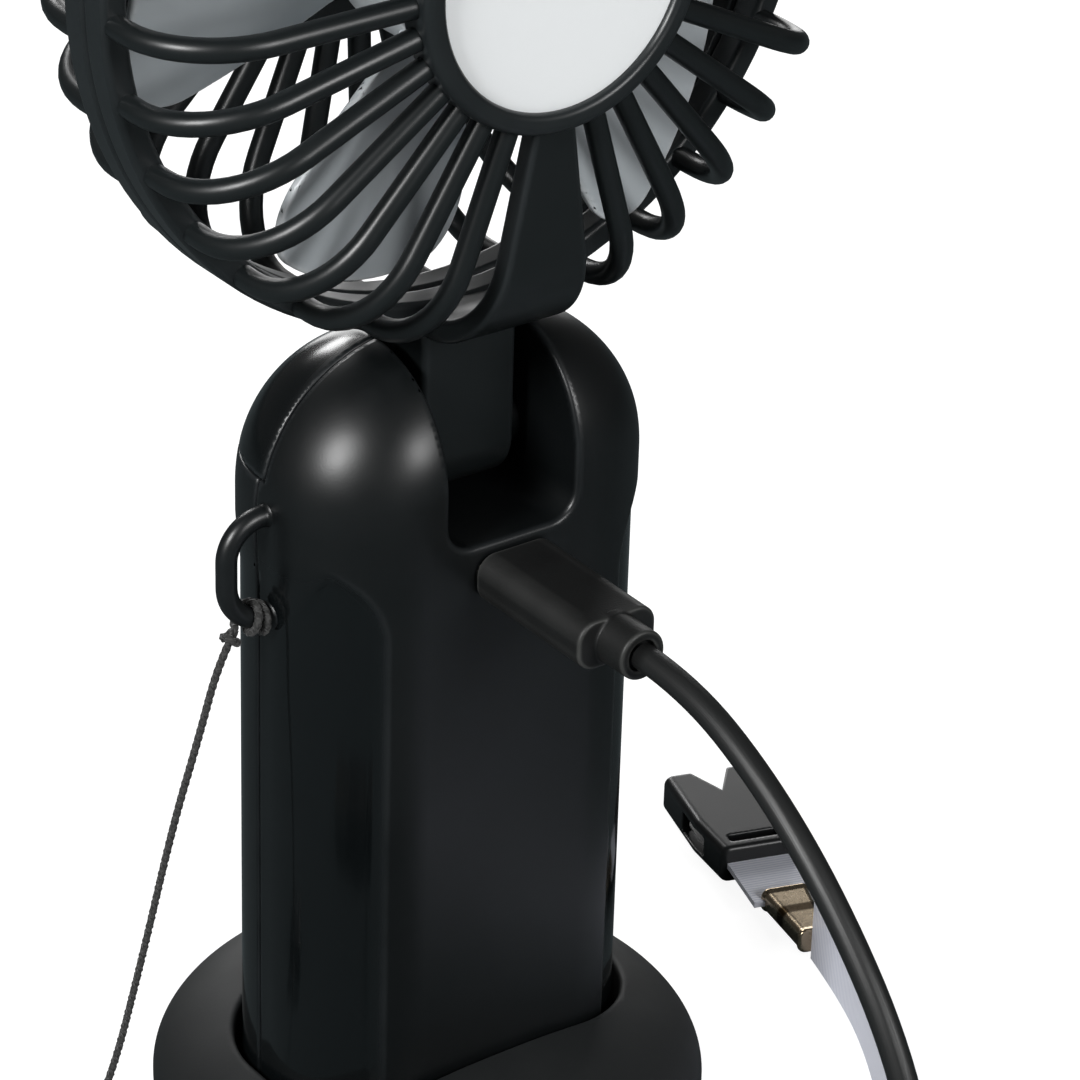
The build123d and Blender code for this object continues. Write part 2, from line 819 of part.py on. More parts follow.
plug_back = half_depth + plug_gap
plug_end = plug_back + plug_length
collar_end = plug_end + collar_length

with BuildPart() as usb_c_plug:
    with BuildSketch(facing_front(plug_end)):
        with Locations((0, socket_z)):
            RectangleRounded(plug_width, plug_height, plug_corner)
    extrude(amount=plug_length)
    fillet(usb_c_plug.faces().sort_by(Axis.Y)[-1].edges(), plug_round)
    with BuildSketch(facing_front(collar_end)):
        with Locations((0, socket_z)):
            Circle(collar_radius)
    extrude(amount=collar_length)
finish(usb_c_plug, "usb_c_plug")

with BuildPart() as usb_c_tongue:
    shell_inset = receptacle_wall + tongue_fit
    with BuildSketch(facing_front(plug_back)):
        with Locations((0, socket_z)):
            RectangleRounded(
                receptacle_width - 2 * shell_inset,
                receptacle_height - 2 * shell_inset,
                (receptacle_height - receptacle_flat) / 2 - shell_inset,
            )
    extrude(amount=plug_gap + tongue_length)
finish(usb_c_tongue, "usb_c_tongue")

lead_z = lead_clear + cable_diameter / 2
coil_start = Vector(35.2, 93.6, lead_z)
lead_route = [
    (0, collar_end, socket_z),
    (0, 47.5, socket_z),
    (0, 60.5, socket_z - 5),
    (0, 73, socket_z - 13.5),
    (0, 85, socket_z - 26),
    (0, 91.5, socket_z - 41),
    (0.8, 95.3, 24.0),
    (5.2, 100.0, 14.4),
    (13.8, 102.2, 6.6),
    (25.0, 100.2, lead_z),
    coil_start,
]

with BuildPart() as cable_free:
    with BuildLine() as lead_line:
        FilletPolyline(*lead_route, radius=turn_radii(lead_route))
    with BuildSketch(Plane(lead_line.line @ 0, z_dir=lead_line.line % 0)):
        RegularPolygon(cable_diameter / 2, 8)
    sweep()
finish(cable_free, "cable_free")
cable_area = cable_diameter**2 / sqrt(2)  # of the octagon
report_route("cable_free", lead_route, cable_free.part, cable_area, lead_line.wire())

coil_heading = (Vector(coil_start) - Vector(lead_route[-2])).normalized()
coil_side = Vector(coil_heading.Y, -coil_heading.X, 0)
coil_centre = coil_start + coil_side * coil_radius
coil_half = coil_turns / 2


def coil_point(turn):
    """Point of the coil after a number of turns: in on the floor, up, and out above."""
    from_middle = turn - coil_half
    radius = coil_radius - coil_pitch * (coil_half - abs(from_middle))
    climb = min(max((from_middle + 0.25) / 0.5, 0), 1)
    height = coil_layer * climb * climb * (3 - 2 * climb)
    outward = coil_side * -cos(2 * pi * turn) + coil_heading * sin(2 * pi * turn)
    return coil_centre + outward * radius + Vector(0, 0, height)


def coil_tangent(turn):
    if turn == 0 or turn == coil_turns:
        return coil_heading
    step = 0.01
    return (coil_point(turn + step) - coil_point(turn - step)).normalized()


def add_biarc(start, start_dir, end, end_dir):
    """Two arcs that leave start and reach end in the given directions."""
    chord = end - start
    both = start_dir + end_dir
    spread = 2 * (1 - start_dir.dot(end_dir))
    reach = -chord.dot(both) + sqrt(chord.dot(both) ** 2 + spread * chord.dot(chord))
    reach = reach / spread
    first = start + start_dir * reach
    last = end - end_dir * reach
    middle = (first + last) / 2
    TangentArc(start, middle, tangent=start_dir)
    TangentArc(middle, end, tangent=(last - first).normalized())


coil_end = coil_point(coil_turns)
usb_a_z = usb_a_height / 2
tail_end = coil_end + coil_heading * tail_length
tail_end = Vector(tail_end.X, tail_end.Y, usb_a_z)
tail_fall = coil_end.Z - tail_end.Z
tail_half = coil_end + coil_heading * (tail_length / 2) - Vector(0, 0, tail_fall / 2)

with BuildPart() as cable_coil:
    with BuildLine() as coil_line:
        quarters = [index / 4 for index in range(4 * coil_turns + 1)]
        for turn, next_turn in zip(quarters, quarters[1:]):
            add_biarc(
                coil_point(turn), coil_tangent(turn), coil_point(next_turn), coil_tangent(next_turn)
            )
        run_in = coil_end + coil_heading * cable_diameter
        run_out = tail_end - coil_heading * cable_diameter
        Line(coil_end, run_in)
        TangentArc(run_in, tail_half, tangent=coil_heading)
        TangentArc(run_out, tail_half, tangent=-coil_heading)
        Line(run_out, tail_end)
    with BuildSketch(Plane(coil_start, z_dir=coil_heading)):
        RegularPolygon(cable_diameter / 2, 8)
    sweep()
finish(cable_coil, "cable_coil")


def least_gap(point_at, length, diameter, apart):
    """Least distance between the surfaces of a tube's turns, on points along its line."""
    steps = 400
    points = [point_at(length * index / steps) for index in range(steps + 1)]
    skip = int(apart / length * steps)
    gaps = [
        (points[a] - points[b]).length - diameter
        for a in range(steps + 1)
        for b in range(a + skip, steps + 1)
    ]
    return min(gaps)


coil_gap = least_gap(coil_point, coil_turns, cable_diameter, 0.5)
coil_length = coil_line.wire().length
print(f"cable_coil: length {coil_length:.1f}, least gap {coil_gap:.2f}")
print(f"cable_coil: volume share {cable_coil.part.volume / (cable_area * coil_length):.4f}")
print(f"lead: whole length {coil_length + lead_line.wire().length:.1f}")

# The tie goes round all turns of the coil
tie_outward = -coil_side.rotate(Axis.Z, tie_turn)
bundle_inner = coil_radius - coil_pitch * coil_half - cable_diameter / 2 - tie_slack
bundle_outer = coil_radius + cable_diameter / 2 + tie_slack
bundle_top = lead_z + coil_layer + cable_diameter / 2 + tie_slack
with BuildPart() as cable_tie:
    tie_middle = coil_centre + tie_outward * ((bundle_inner + bundle_outer) / 2)
    tie_bottom = tie_thickness
    tie_plane = Plane(
        origin=(tie_middle.X, tie_middle.Y, (bundle_top + tie_bottom) / 2),
        x_dir=tie_outward,
        z_dir=tie_outward.cross(Vector(0, 0, 1)),
    )
    with BuildSketch(tie_plane):
        inside_width = bundle_outer - bundle_inner
        inside_height = bundle_top - tie_bottom
        RectangleRounded(
            inside_width + 2 * tie_thickness, inside_height + 2 * tie_thickness, cable_diameter / 2
        )
        RectangleRounded(
            inside_width, inside_height, cable_diameter / 2 - tie_thickness, mode=Mode.SUBTRACT
        )
    extrude(amount=tie_width / 2, both=True)
finish(cable_tie, "cable_tie")

usb_a_plane = Plane(origin=tail_end, x_dir=(-coil_heading.Y, coil_heading.X, 0), z_dir=coil_heading)

with BuildPart() as usb_a_plug:
    with BuildSketch(usb_a_plane):
        RectangleRounded(usb_a_width, usb_a_height, usb_a_corner)
    extrude(amount=usb_a_length)
    with BuildSketch(usb_a_plane.offset(usb_a_length - usb_a_shell_root)):
        Rectangle(usb_a_shell_width, usb_a_shell_height)
    extrude(amount=usb_a_shell_root, mode=Mode.SUBTRACT)
finish(usb_a_plug, "usb_a_plug")

with BuildPart() as usb_a_shell:
    shell_start = usb_a_length - usb_a_shell_root
    with BuildSketch(usb_a_plane.offset(shell_start)):
        Rectangle(usb_a_shell_width, usb_a_shell_height)
    extrude(amount=usb_a_shell_length)
    hollow_height = usb_a_shell_height - 2 * usb_a_shell_wall
    with BuildSketch(usb_a_plane.offset(usb_a_length)):
        with Locations((0, usb_a_insert_height / 2)):
            Rectangle(
                usb_a_shell_width - 2 * usb_a_shell_wall, hollow_height - usb_a_insert_height
            )
    extrude(amount=usb_a_shell_length, mode=Mode.SUBTRACT)
finish(usb_a_shell, "usb_a_shell")

# Lanyard: a thin cord hitched to the eyelet, ending in one half of a side-release buckle

knot_x = eyelet_x - eyelet_lower_round * (1 - cos(radians(knot_turn)))
knot_z = eyelet_middle_z - eyelet_half + eyelet_lower_round * (1 - sin(radians(knot_turn)))
with BuildPart() as lanyard_knot:
    with Locations((knot_x, eyelet_y, knot_z)):
        Sphere(knot_radius, rotation=(90, 0, -knot_turn))
    add(lanyard_eyelet, mode=Mode.SUBTRACT)
finish(lanyard_knot, "lanyard_knot")

cord_start_x = knot_x + cord_from_knot
cord_start_z = knot_z - cord_below_knot
buckle_z = buckle_height / 2
cord_route = [
    (cord_start_x, eyelet_y, cord_start_z),
    (cord_start_x + 2.2, eyelet_y, cord_start_z - 3.4),
    (33.0, 0, 61.0),
    (36.6, 0, 50.5),
    (41.0, 0, 34.0),
    (45.2, -1.0, 17.0),
    (50.0, -3.0, 6.0),
    (57.0, -5.0, buckle_z),
    (63.0, -5.0, buckle_z),
]
with BuildPart() as lanyard_cord:
    with BuildLine() as cord_line:
        FilletPolyline(*cord_route, radius=turn_radii(cord_route))
    with BuildSketch(Plane(cord_line.line @ 0, z_dir=cord_line.line % 0)):
        RegularPolygon(cord_diameter / 2, 6)
    sweep()
    add(lanyard_knot, mode=Mode.SUBTRACT)
finish(lanyard_cord, "lanyard_cord")
hexagon_area = 1.5 * sqrt(3) * cord_diameter**2 / 4
report_route("lanyard_cord", cord_route, lanyard_cord.part, hexagon_area, cord_line.wire())

with BuildPart() as buckle_male:
    male_plane = Plane(origin=cord_route[-1], x_dir=(0, 1, 0), z_dir=(1, 0, 0))
    with BuildSketch(male_plane):
        RectangleRounded(buckle_width, buckle_height, buckle_corner)
    extrude(amount=male_body)
    with BuildSketch(male_plane.offset(male_body)):
        for side in (-1, 1):
            with Locations((side * (buckle_width / 2 - buckle_wall - prong_width / 2), 0)):
                Rectangle(prong_width, prong_height)
        Rectangle(guide_width, prong_height)
    extrude(amount=prong_length)
finish(buckle_male, "buckle_male")

# Strap: the other half of the buckle, a ribbon tab, its crimp, the ribbon on edge and its roll

strap_heading = Vector(0.30, 0.954, 0).normalized()
strap_across = Vector(strap_heading.Y, -strap_heading.X, 0)
female_mouth = Vector(-70.0, -33.0, 0)


def strap_plane(along, height):
    """Plane square to the strap's heading, a distance along it from the buckle's mouth."""
    origin = female_mouth + strap_heading * along + Vector(0, 0, height)
    return Plane(origin=origin, x_dir=strap_across, z_dir=strap_heading)


with BuildPart() as buckle_female:
    with BuildSketch(strap_plane(0, buckle_z)):
        RectangleRounded(buckle_width, buckle_height, buckle_corner)
    extrude(amount=female_length)
    with BuildSketch(strap_plane(0, buckle_z)):
        Rectangle(buckle_width - 2 * buckle_wall, buckle_height - 2 * buckle_wall)
    extrude(amount=female_length - female_tail, mode=Mode.SUBTRACT)
    with BuildSketch(strap_plane(female_length - female_tail - side_window, buckle_z)):
        Rectangle(2 * buckle_width, buckle_height - 2 * buckle_wall)
    extrude(amount=side_window, mode=Mode.SUBTRACT)
finish(buckle_female, "buckle_female")

crimp_start = female_length + tab_length
crimp_z = crimp_lift + crimp_height / 2
with BuildPart() as strap_tab:
    for along, height in ((female_length, buckle_z), (crimp_start, crimp_z)):
        with BuildSketch(strap_plane(along, height)):
            Rectangle(ribbon_width, ribbon_thickness)
    loft()
finish(strap_tab, "strap_tab")

with BuildPart() as strap_crimp:
    for along, width in ((crimp_start, crimp_width), (crimp_start + crimp_length, crimp_neck)):
        with BuildSketch(strap_plane(along, crimp_z)):
            RectangleRounded(width, crimp_height, crimp_corner)
    loft()
finish(strap_crimp, "strap_crimp")

ribbon_z = ribbon_width / 2
ribbon_start = strap_plane(crimp_start + crimp_length, ribbon_z).origin
roll_entry = Vector(-20.0, 94.0, ribbon_z)
strap_route = [
    ribbon_start,
    ribbon_start + strap_heading * 10.5,
    (-49.5, 26.8, ribbon_z),
    (-41.5, 39.5, ribbon_z),
    (-31.9, 53.5, ribbon_z),
    (-23.8, 68.0, ribbon_z),
    (-20.0, 81.0, ribbon_z),
    roll_entry,
]
with BuildPart() as strap_run:
    with BuildLine() as strap_line:
        FilletPolyline(*strap_route, radius=turn_radii(strap_route))
    with BuildSketch(Plane(strap_line.line @ 0, x_dir=(0, 0, 1), z_dir=strap_line.line % 0)):
        Rectangle(ribbon_width, ribbon_thickness)
    sweep()
finish(strap_run, "strap_run")
ribbon_area = ribbon_width * ribbon_thickness
report_route("strap_run", strap_route, strap_run.part, ribbon_area, strap_line.wire())

# Half circles whose radius falls by half a pitch each time make the roll's spiral
with BuildPart() as strap_roll:
    with BuildLine() as roll_line:
        roll_from = roll_entry
        for half_turn in range(2 * roll_turns):
            radius = roll_radius - roll_pitch / 2 * half_turn
            inward = Vector(-1 if half_turn % 2 == 0 else 1, 0, 0)
            roll_to = roll_from + inward * (2 * radius)
            far_side = roll_from + inward * radius + inward.cross(Vector(0, 0, radius))
            ThreePointArc(roll_from, far_side, roll_to)
            roll_from = roll_to
    with BuildSketch(Plane(roll_entry, x_dir=(0, 0, 1), z_dir=(0, 1, 0))):
        Rectangle(ribbon_width, ribbon_thickness)
    sweep()
finish(strap_roll, "strap_roll")
roll_length = roll_line.wire().length
print(f"strap_roll: length {roll_length:.1f}, gap {roll_pitch - ribbon_thickness:.2f}")
strap_length = tab_length + crimp_length + strap_line.wire().length + roll_length
print(f"strap: whole length {strap_length:.1f}")
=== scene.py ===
import itertools
import json
import math

import bpy
import numpy as np
from mathutils import Matrix, Vector


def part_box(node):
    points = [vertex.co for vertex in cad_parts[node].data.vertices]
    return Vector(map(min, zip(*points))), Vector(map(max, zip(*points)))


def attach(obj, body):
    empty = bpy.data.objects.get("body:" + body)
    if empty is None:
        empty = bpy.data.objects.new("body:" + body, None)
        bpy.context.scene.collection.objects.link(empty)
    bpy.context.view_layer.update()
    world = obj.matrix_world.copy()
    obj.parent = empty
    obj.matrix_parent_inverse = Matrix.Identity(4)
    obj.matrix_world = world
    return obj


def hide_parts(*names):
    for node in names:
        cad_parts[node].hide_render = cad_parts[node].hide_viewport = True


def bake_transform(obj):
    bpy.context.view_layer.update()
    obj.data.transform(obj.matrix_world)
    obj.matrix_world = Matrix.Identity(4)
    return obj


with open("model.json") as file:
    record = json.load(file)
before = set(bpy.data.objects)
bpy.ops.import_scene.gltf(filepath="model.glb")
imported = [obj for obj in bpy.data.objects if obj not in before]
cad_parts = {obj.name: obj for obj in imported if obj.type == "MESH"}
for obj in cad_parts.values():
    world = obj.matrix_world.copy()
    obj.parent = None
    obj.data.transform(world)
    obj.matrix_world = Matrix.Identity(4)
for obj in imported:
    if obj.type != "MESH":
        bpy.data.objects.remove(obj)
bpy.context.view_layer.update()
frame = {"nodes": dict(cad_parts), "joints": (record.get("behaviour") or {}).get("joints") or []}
nodes = frame["nodes"]
scene = bpy.context.scene
scene.view_settings.view_transform = "Standard"
mm = 0.001


def addObject(name, data):
    made = bpy.data.objects.new(name, data)
    scene.collection.objects.link(made)
    return made


# Sizes of the frame, in millimetres
def boxMm(node):
    low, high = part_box(node)
    return np.array(low) / mm, np.array(high) / mm


def middleZ(node):
    low, high = boxMm(node)
    return low[2] / 2 + high[2] / 2


jointPlace = {joint["name"]: np.array(joint.get("pos_m") or (0, 0, 0)) / mm for joint in frame["joints"]}
hingeZ = jointPlace["neck_fold"][2]
hubZ = jointPlace["fan_spin"][2]
labelY = boxMm("label_disc")[1][1]
print("frame loaded, hinge at", round(hingeZ, 2), "hub at", round(hubZ, 2))


# Camera, where the photograph was taken from
cameraView = {
    "place": (0.26539, 0.37022, 0.32258),
    "azimuth": 142.87,
    "elevation": 28.31,
    "roll": 1.79,
    "lens": 148.32,
    "sensor": 36.0,
    "nearest": 0.01,
}


def makeCamera():
    data = bpy.data.cameras.new("photoCamera")
    data.lens = cameraView["lens"]
    data.sensor_width = cameraView["sensor"]
    data.clip_start = cameraView["nearest"]
    camera = addObject("photoCamera", data)
    azimuth, elevation = math.radians(cameraView["azimuth"]), math.radians(cameraView["elevation"])
    back = Vector((
        math.sin(azimuth) * math.cos(elevation),
        -math.cos(azimuth) * math.cos(elevation),
        math.sin(elevation),
    ))
    turn = back.to_track_quat("Z", "Y").to_matrix().to_4x4()
    roll = Matrix.Rotation(math.radians(cameraView["roll"]), 4, "Z")
    camera.matrix_world = Matrix.Translation(cameraView["place"]) @ turn @ roll
    scene.camera = camera


makeCamera()
print("camera set")


# Small tools for nodes and colours
def hexToLinear(code):
    parts = [int(code[i:i + 2], 16) / 255 for i in (1, 3, 5)]
    linear = [c / 12.92 if c <= 0.04045 else ((c + 0.055) / 1.055) ** 2.4 for c in parts]
    return (*linear, 1.0)


def addNode(tree, kind, inputs=None, **settings):
    node = tree.nodes.new(kind)
    for name, value in settings.items():
        setattr(node, name, value)
    for key, value in (inputs or {}).items():
        if isinstance(value, bpy.types.NodeSocket):
            tree.links.new(value, node.inputs[key])
        else:
            node.inputs[key].default_value = value
    return node


def startMaterial(name, color, roughness, ior=1.5, metallic=0.0):
    material = bpy.data.materials.new(name)
    material.use_nodes = True
    tree = material.node_tree
    shader = tree.nodes["Principled BSDF"]
    shader.inputs["Base Color"].default_value = hexToLinear(color)
    shader.inputs["Roughness"].default_value = roughness
    shader.inputs["Metallic"].default_value = metallic
    if metallic == 0:
        shader.inputs["IOR"].default_value = ior
    return material, tree, shader


def addBump(tree, shader, height, distance):
    bump = addNode(tree, "ShaderNodeBump", {"Height": height, "Distance": distance})
    tree.links.new(bump.outputs["Normal"], shader.inputs["Normal"])
    return bump


def addTint(tree, shader, share, low, high):
    colors = {"Factor": share, 6: hexToLinear(low), 7: hexToLinear(high)}
    tint = addNode(tree, "ShaderNodeMix", colors, data_type="RGBA")
    tree.links.new(tint.outputs[2], shader.inputs["Base Color"])


def addRoughness(tree, shader, value, low, high, fromLow=0.0, fromHigh=1.0):
    spread = addNode(tree, "ShaderNodeMapRange", {
        "Value": value, "From Min": fromLow, "From Max": fromHigh, "To Min": low, "To Max": high,
    })
    tree.links.new(spread.outputs["Result"], shader.inputs["Roughness"])
    return spread.outputs["Result"]


def addNoise(tree, vector, size, detail):
    # size is millimetres
    noise = {"Vector": vector, "Scale": 1 / (size * mm), "Detail": detail}
    return addNode(tree, "ShaderNodeTexNoise", noise).outputs["Fac"]


def addAttribute(tree, name):
    return addNode(tree, "ShaderNodeAttribute", attribute_name=name).outputs["Fac"]


def scaledRoute(tree, scale, slant=0.0):
    # the UV along and round a cord
    uv = addNode(tree, "ShaderNodeUVMap", uv_map="route").outputs["UV"]
    mapped = {"Vector": uv, "Rotation": (0, 0, math.radians(slant)), "Scale": scale}
    return addNode(tree, "ShaderNodeMapping", mapped).outputs["Vector"]


def mouldedFinish(tree, shader, grit, depth, rough, colors):
    # grit and depth are millimetres; rough is (low, high); colors are the field and its lighter edges, partly
    # rubbed wear and partly painted highlight
    place = addNode(tree, "ShaderNodeTexCoord").outputs["Object"]
    bump = addBump(tree, shader, addNoise(tree, place, grit, 3.0), depth * mm)
    cloud = addNoise(tree, place, 9, 4.0)
    edge = addAttribute(tree, "edge")
    # outward-bending edges are painted lighter, mottled by the cloud: partly rubbed wear, partly painted
    # highlight
    wearAndHighlight = addNode(tree, "ShaderNodeMath", {0: edge, 1: cloud}, operation="MULTIPLY")
    addTint(tree, shader, wearAndHighlight.outputs[0], *colors)
    return bump, addRoughness(tree, shader, cloud, *rough, 0.3, 0.7)


def makeMoulded(name, colors, rough, grit, depth, ior=1.5, transmission=0.0):
    # rough is (low, middle, high)
    material, tree, shader = startMaterial(name, colors[0], rough[1], ior)
    mouldedFinish(tree, shader, grit, depth, (rough[0], rough[2]), colors)
    shader.inputs["Transmission Weight"].default_value = transmission
    return material


# Handle: moulded ABS, fine spark-eroded grain, polished in the grip strips
def makeHandlePlastic():
    material, tree, shader = startMaterial("satinMouldedAbs", "#0a0d0e", 0.37)
    grain, rough = mouldedFinish(tree, shader, 0.22, 0.006, (0.34, 0.40), ("#0a0d0e", "#26292b"))
    polish = addAttribute(tree, "polish")
    mixed = addNode(tree, "ShaderNodeMix", {"Factor": polish, 2: rough, 3: 0.09})
    tree.links.new(mixed.outputs[0], shader.inputs["Roughness"])
    smooth = addNode(tree, "ShaderNodeMapRange", {"Value": polish, "To Min": 1.0, "To Max": 0.06})
    tree.links.new(smooth.outputs["Result"], grain.inputs["Strength"])
    return material


# Lead: extruded TPE jacket, with fine lengthwise die lines
def makeJacketRubber():
    material, tree, shader = startMaterial("extrudedTpeJacket", "#1a1b1b", 0.42)
    lines = addNode(tree, "ShaderNodeTexNoise", {
        "Vector": scaledRoute(tree, (60.0, 90.0, 1.0)), "Scale": 1.0, "Detail": 2.0,
    }).outputs["Fac"]
    addBump(tree, shader, lines, 0.03 * mm)
    addRoughness(tree, shader, lines, 0.36, 0.5)
    return material


# Lanyard cord: braided nylon, strands crossing at a slant
def makeBraidedNylon():
    material, tree, shader = startMaterial("braidedNylon", "#141414", 0.6, 1.53)
    strands = [
        addNode(tree, "ShaderNodeTexWave", {
            "Vector": scaledRoute(tree, (900.0, 2.0, 1.0), slant), "Scale": 0.5, "Distortion": 0.6,
        }).outputs["Fac"]
        for slant in (40, -40)
    ]
    weaveAndPaintedShade = addNode(tree, "ShaderNodeMath", {0: strands[0], 1: strands[1]}, operation="MAXIMUM").outputs[0]
    addBump(tree, shader, weaveAndPaintedShade, 0.12 * mm)
    # the strand crowns are painted lighter and the gaps between them darker: painted highlight and painted shade
    addTint(tree, shader, weaveAndPaintedShade, "#0c0c0c", "#2a2a29")
    shader.inputs["Sheen Weight"].default_value = 0.2
    return material


# Strap: woven satin ribbon, fine cross ribs and a soft sheen
def makeRibbonSatin():
    material, tree, shader = startMaterial("wovenSatinRibbon", "#d3d5e0", 0.42, 1.53)
    ribs = addNode(tree, "ShaderNodeTexWave", {
        "Vector": scaledRoute(tree, (1000.0, 1.0, 1.0)), "Scale": 0.6, "Distortion": 0.8, "Detail": 2.0,
    }).outputs["Fac"]
    addBump(tree, shader, ribs, 0.03 * mm)
    # the rib crests are painted lighter and the grooves darker: painted highlight and painted shade
    addTint(tree, shader, ribs, "#c3c6d6", "#e2e4ec")
    shader.inputs["Sheen Weight"].default_value = 0.3
    return material


# Metals: turned, pressed or plated, with a fine unevenness in the sheen
def makeMetal(name, color, rough, grit):
    material, tree, shader = startMaterial(name, color, rough, metallic=1.0)
    place = addNode(tree, "ShaderNodeTexCoord").outputs["Object"]
    streak = addNoise(tree, place, grit, 4.0)
    addRoughness(tree, shader, streak, rough * 0.7, rough * 1.4)
    addBump(tree, shader, streak, 0.004 * mm)
    return material


# Crimp: pressed nickel silver, with a dark brown band painted across its middle: a painted reflection
def makeCrimpMetal():
    material = makeMetal("pressedNickelSilver", "#b8a78e", 0.24, 0.8)
    tree = material.node_tree
    addTint(tree, tree.nodes["Principled BSDF"], addAttribute(tree, "reflectionBand"), "#b8a78e", "#4a3a22")
    return material


handlePlastic = makeHandlePlastic()
jacketRubber = makeJacketRubber()
braidedNylon = makeBraidedNylon()
ribbonSatin = makeRibbonSatin()
crimpMetal = makeCrimpMetal()
# base: the handle's ABS with a coarser, duller grain
basePlastic = makeMoulded("texturedMouldedAbs", ("#0f1213", "#24282a"), (0.6, 0.64, 0.68), 0.30, 0.012)
# grilles and neck: polypropylene from a lightly blasted mould, an even satin
grillePlastic = makeMoulded(
    "satinMouldedPolypropylene", ("#131718", "#2a2e30"), (0.32, 0.36, 0.39), 0.18, 0.004, 1.49
)
# impeller: smoke grey polycarbonate, milky, lets some light through
bladePlastic = makeMoulded(
    "smokedMouldedPolycarbonate", ("#c4cbcf", "#eef1f2"), (0.28, 0.3, 0.32), 0.6, 0.002, 1.58, 0.12
)
# label: white vinyl disc with a faint calendered grain, left bare
labelVinyl = makeMoulded("calenderedWhiteVinyl", ("#eceff0", "#ffffff"), (0.38, 0.42, 0.46), 0.5, 0.003)
# cap and button: ABS from a polished mould
polishedPlastic = makeMoulded("polishedMouldedAbs", ("#0d0e0f", "#26292a"), (0.13, 0.16, 0.19), 0.5, 0.001)
# plugs: soft TPE overmould, dull, with a coarse spark-eroded grain
plugRubber = makeMoulded("overmouldedTpe", ("#0c0d0d", "#474846"), (0.48, 0.52, 0.6), 0.26, 0.026)
# pad: moulded rubber ring
padRubber = makeMoulded("mouldedRubber", ("#202020", "#3c3c3b"), (0.62, 0.7, 0.75), 0.35, 0.02)
# buckles: moulded acetal, slippery and slightly waxy
bucklePlastic = makeMoulded("mouldedAcetal", ("#0e0f10", "#2b2e2f"), (0.3, 0.36, 0.4), 0.25, 0.006, 1.48)
# lamps: light pipes of clear acrylic from a polished mould
clearAcrylic = makeMoulded(
    "clearMouldedAcrylic", ("#dfe5e8", "#dfe5e8"), (0.07, 0.12, 0.17), 0.5, 0.004, transmission=0.8
)
# board: solder mask screened over FR4
boardMask = makeMoulded("greenSolderMask", ("#1d5a36", "#1d5a36"), (0.30, 0.35, 0.40), 0.4, 0.004)
# cell: PVC sleeve shrunk on with heat
cellWrap = makeMoulded("shrinkWrappedPvc", ("#2a5c9c", "#2a5c9c"), (0.25, 0.3, 0.35), 0.8, 0.004)
# pin and shaft: turned; screws and motor: zinc plated; connectors: nickel plated; bush: sintered
turnedSteel = makeMetal("turnedSteel", "#a9abac", 0.28, 0.6)
zincSteel = makeMetal("zincPlatedSteel", "#8f9498", 0.34, 0.9)
nickelSteel = makeMetal("nickelPlatedSteel", "#c9c6bf", 0.2, 0.7)
bronze = makeMetal("sinteredBronze", "#9a7444", 0.45, 0.2)
print("materials made")


# Shapes from a field: negative inside, close to a distance in millimetres
meshing = {
    "slopeReach": 0.02,
    "spread": 0.4,
    "hold": 0.05,
    "clamp": 0.7,
    "bendReach": 0.3,
    "bendGain": 4,
}


def roundMax(a, b, radius):
    corner = np.hypot(np.maximum(a + radius, 0), np.maximum(b + radius, 0))
    return np.minimum(np.maximum(a, b), -radius) + corner


def roundMin(a, b, radius):
    return -roundMax(-a, -b, radius)


def roundRect(x, y, halfX, halfY, corner):
    return roundMax(np.abs(x) - halfX, np.abs(y) - halfY, corner)


def smoothRamp(t):
    t = np.clip(t, 0, 1)
    return t * t * (3 - 2 * t)


def fieldSlope(field, points):
    slope, reach = np.zeros_like(points), meshing["slopeReach"]
    for axis in range(3):
        step = np.zeros(3)
        step[axis] = reach
        slope[:, axis] = (field(*(points + step).T) - field(*(points - step).T)) / (2 * reach)
    return slope


def unit(vectors):
    return vectors / np.maximum(np.linalg.norm(vectors, axis=-1), 1e-9)[..., None]


def pullOn(field, points, step, rounds):
    for _ in range(rounds):
        slope = fieldSlope(field, points)
        moved = slope * (-field(*points.T) / np.maximum((slope ** 2).sum(1), 1e-4))[:, None]
        size = np.linalg.norm(moved, axis=1)
        points = points + moved * np.minimum(1, step / np.maximum(size, 1e-9))[:, None]
    return points


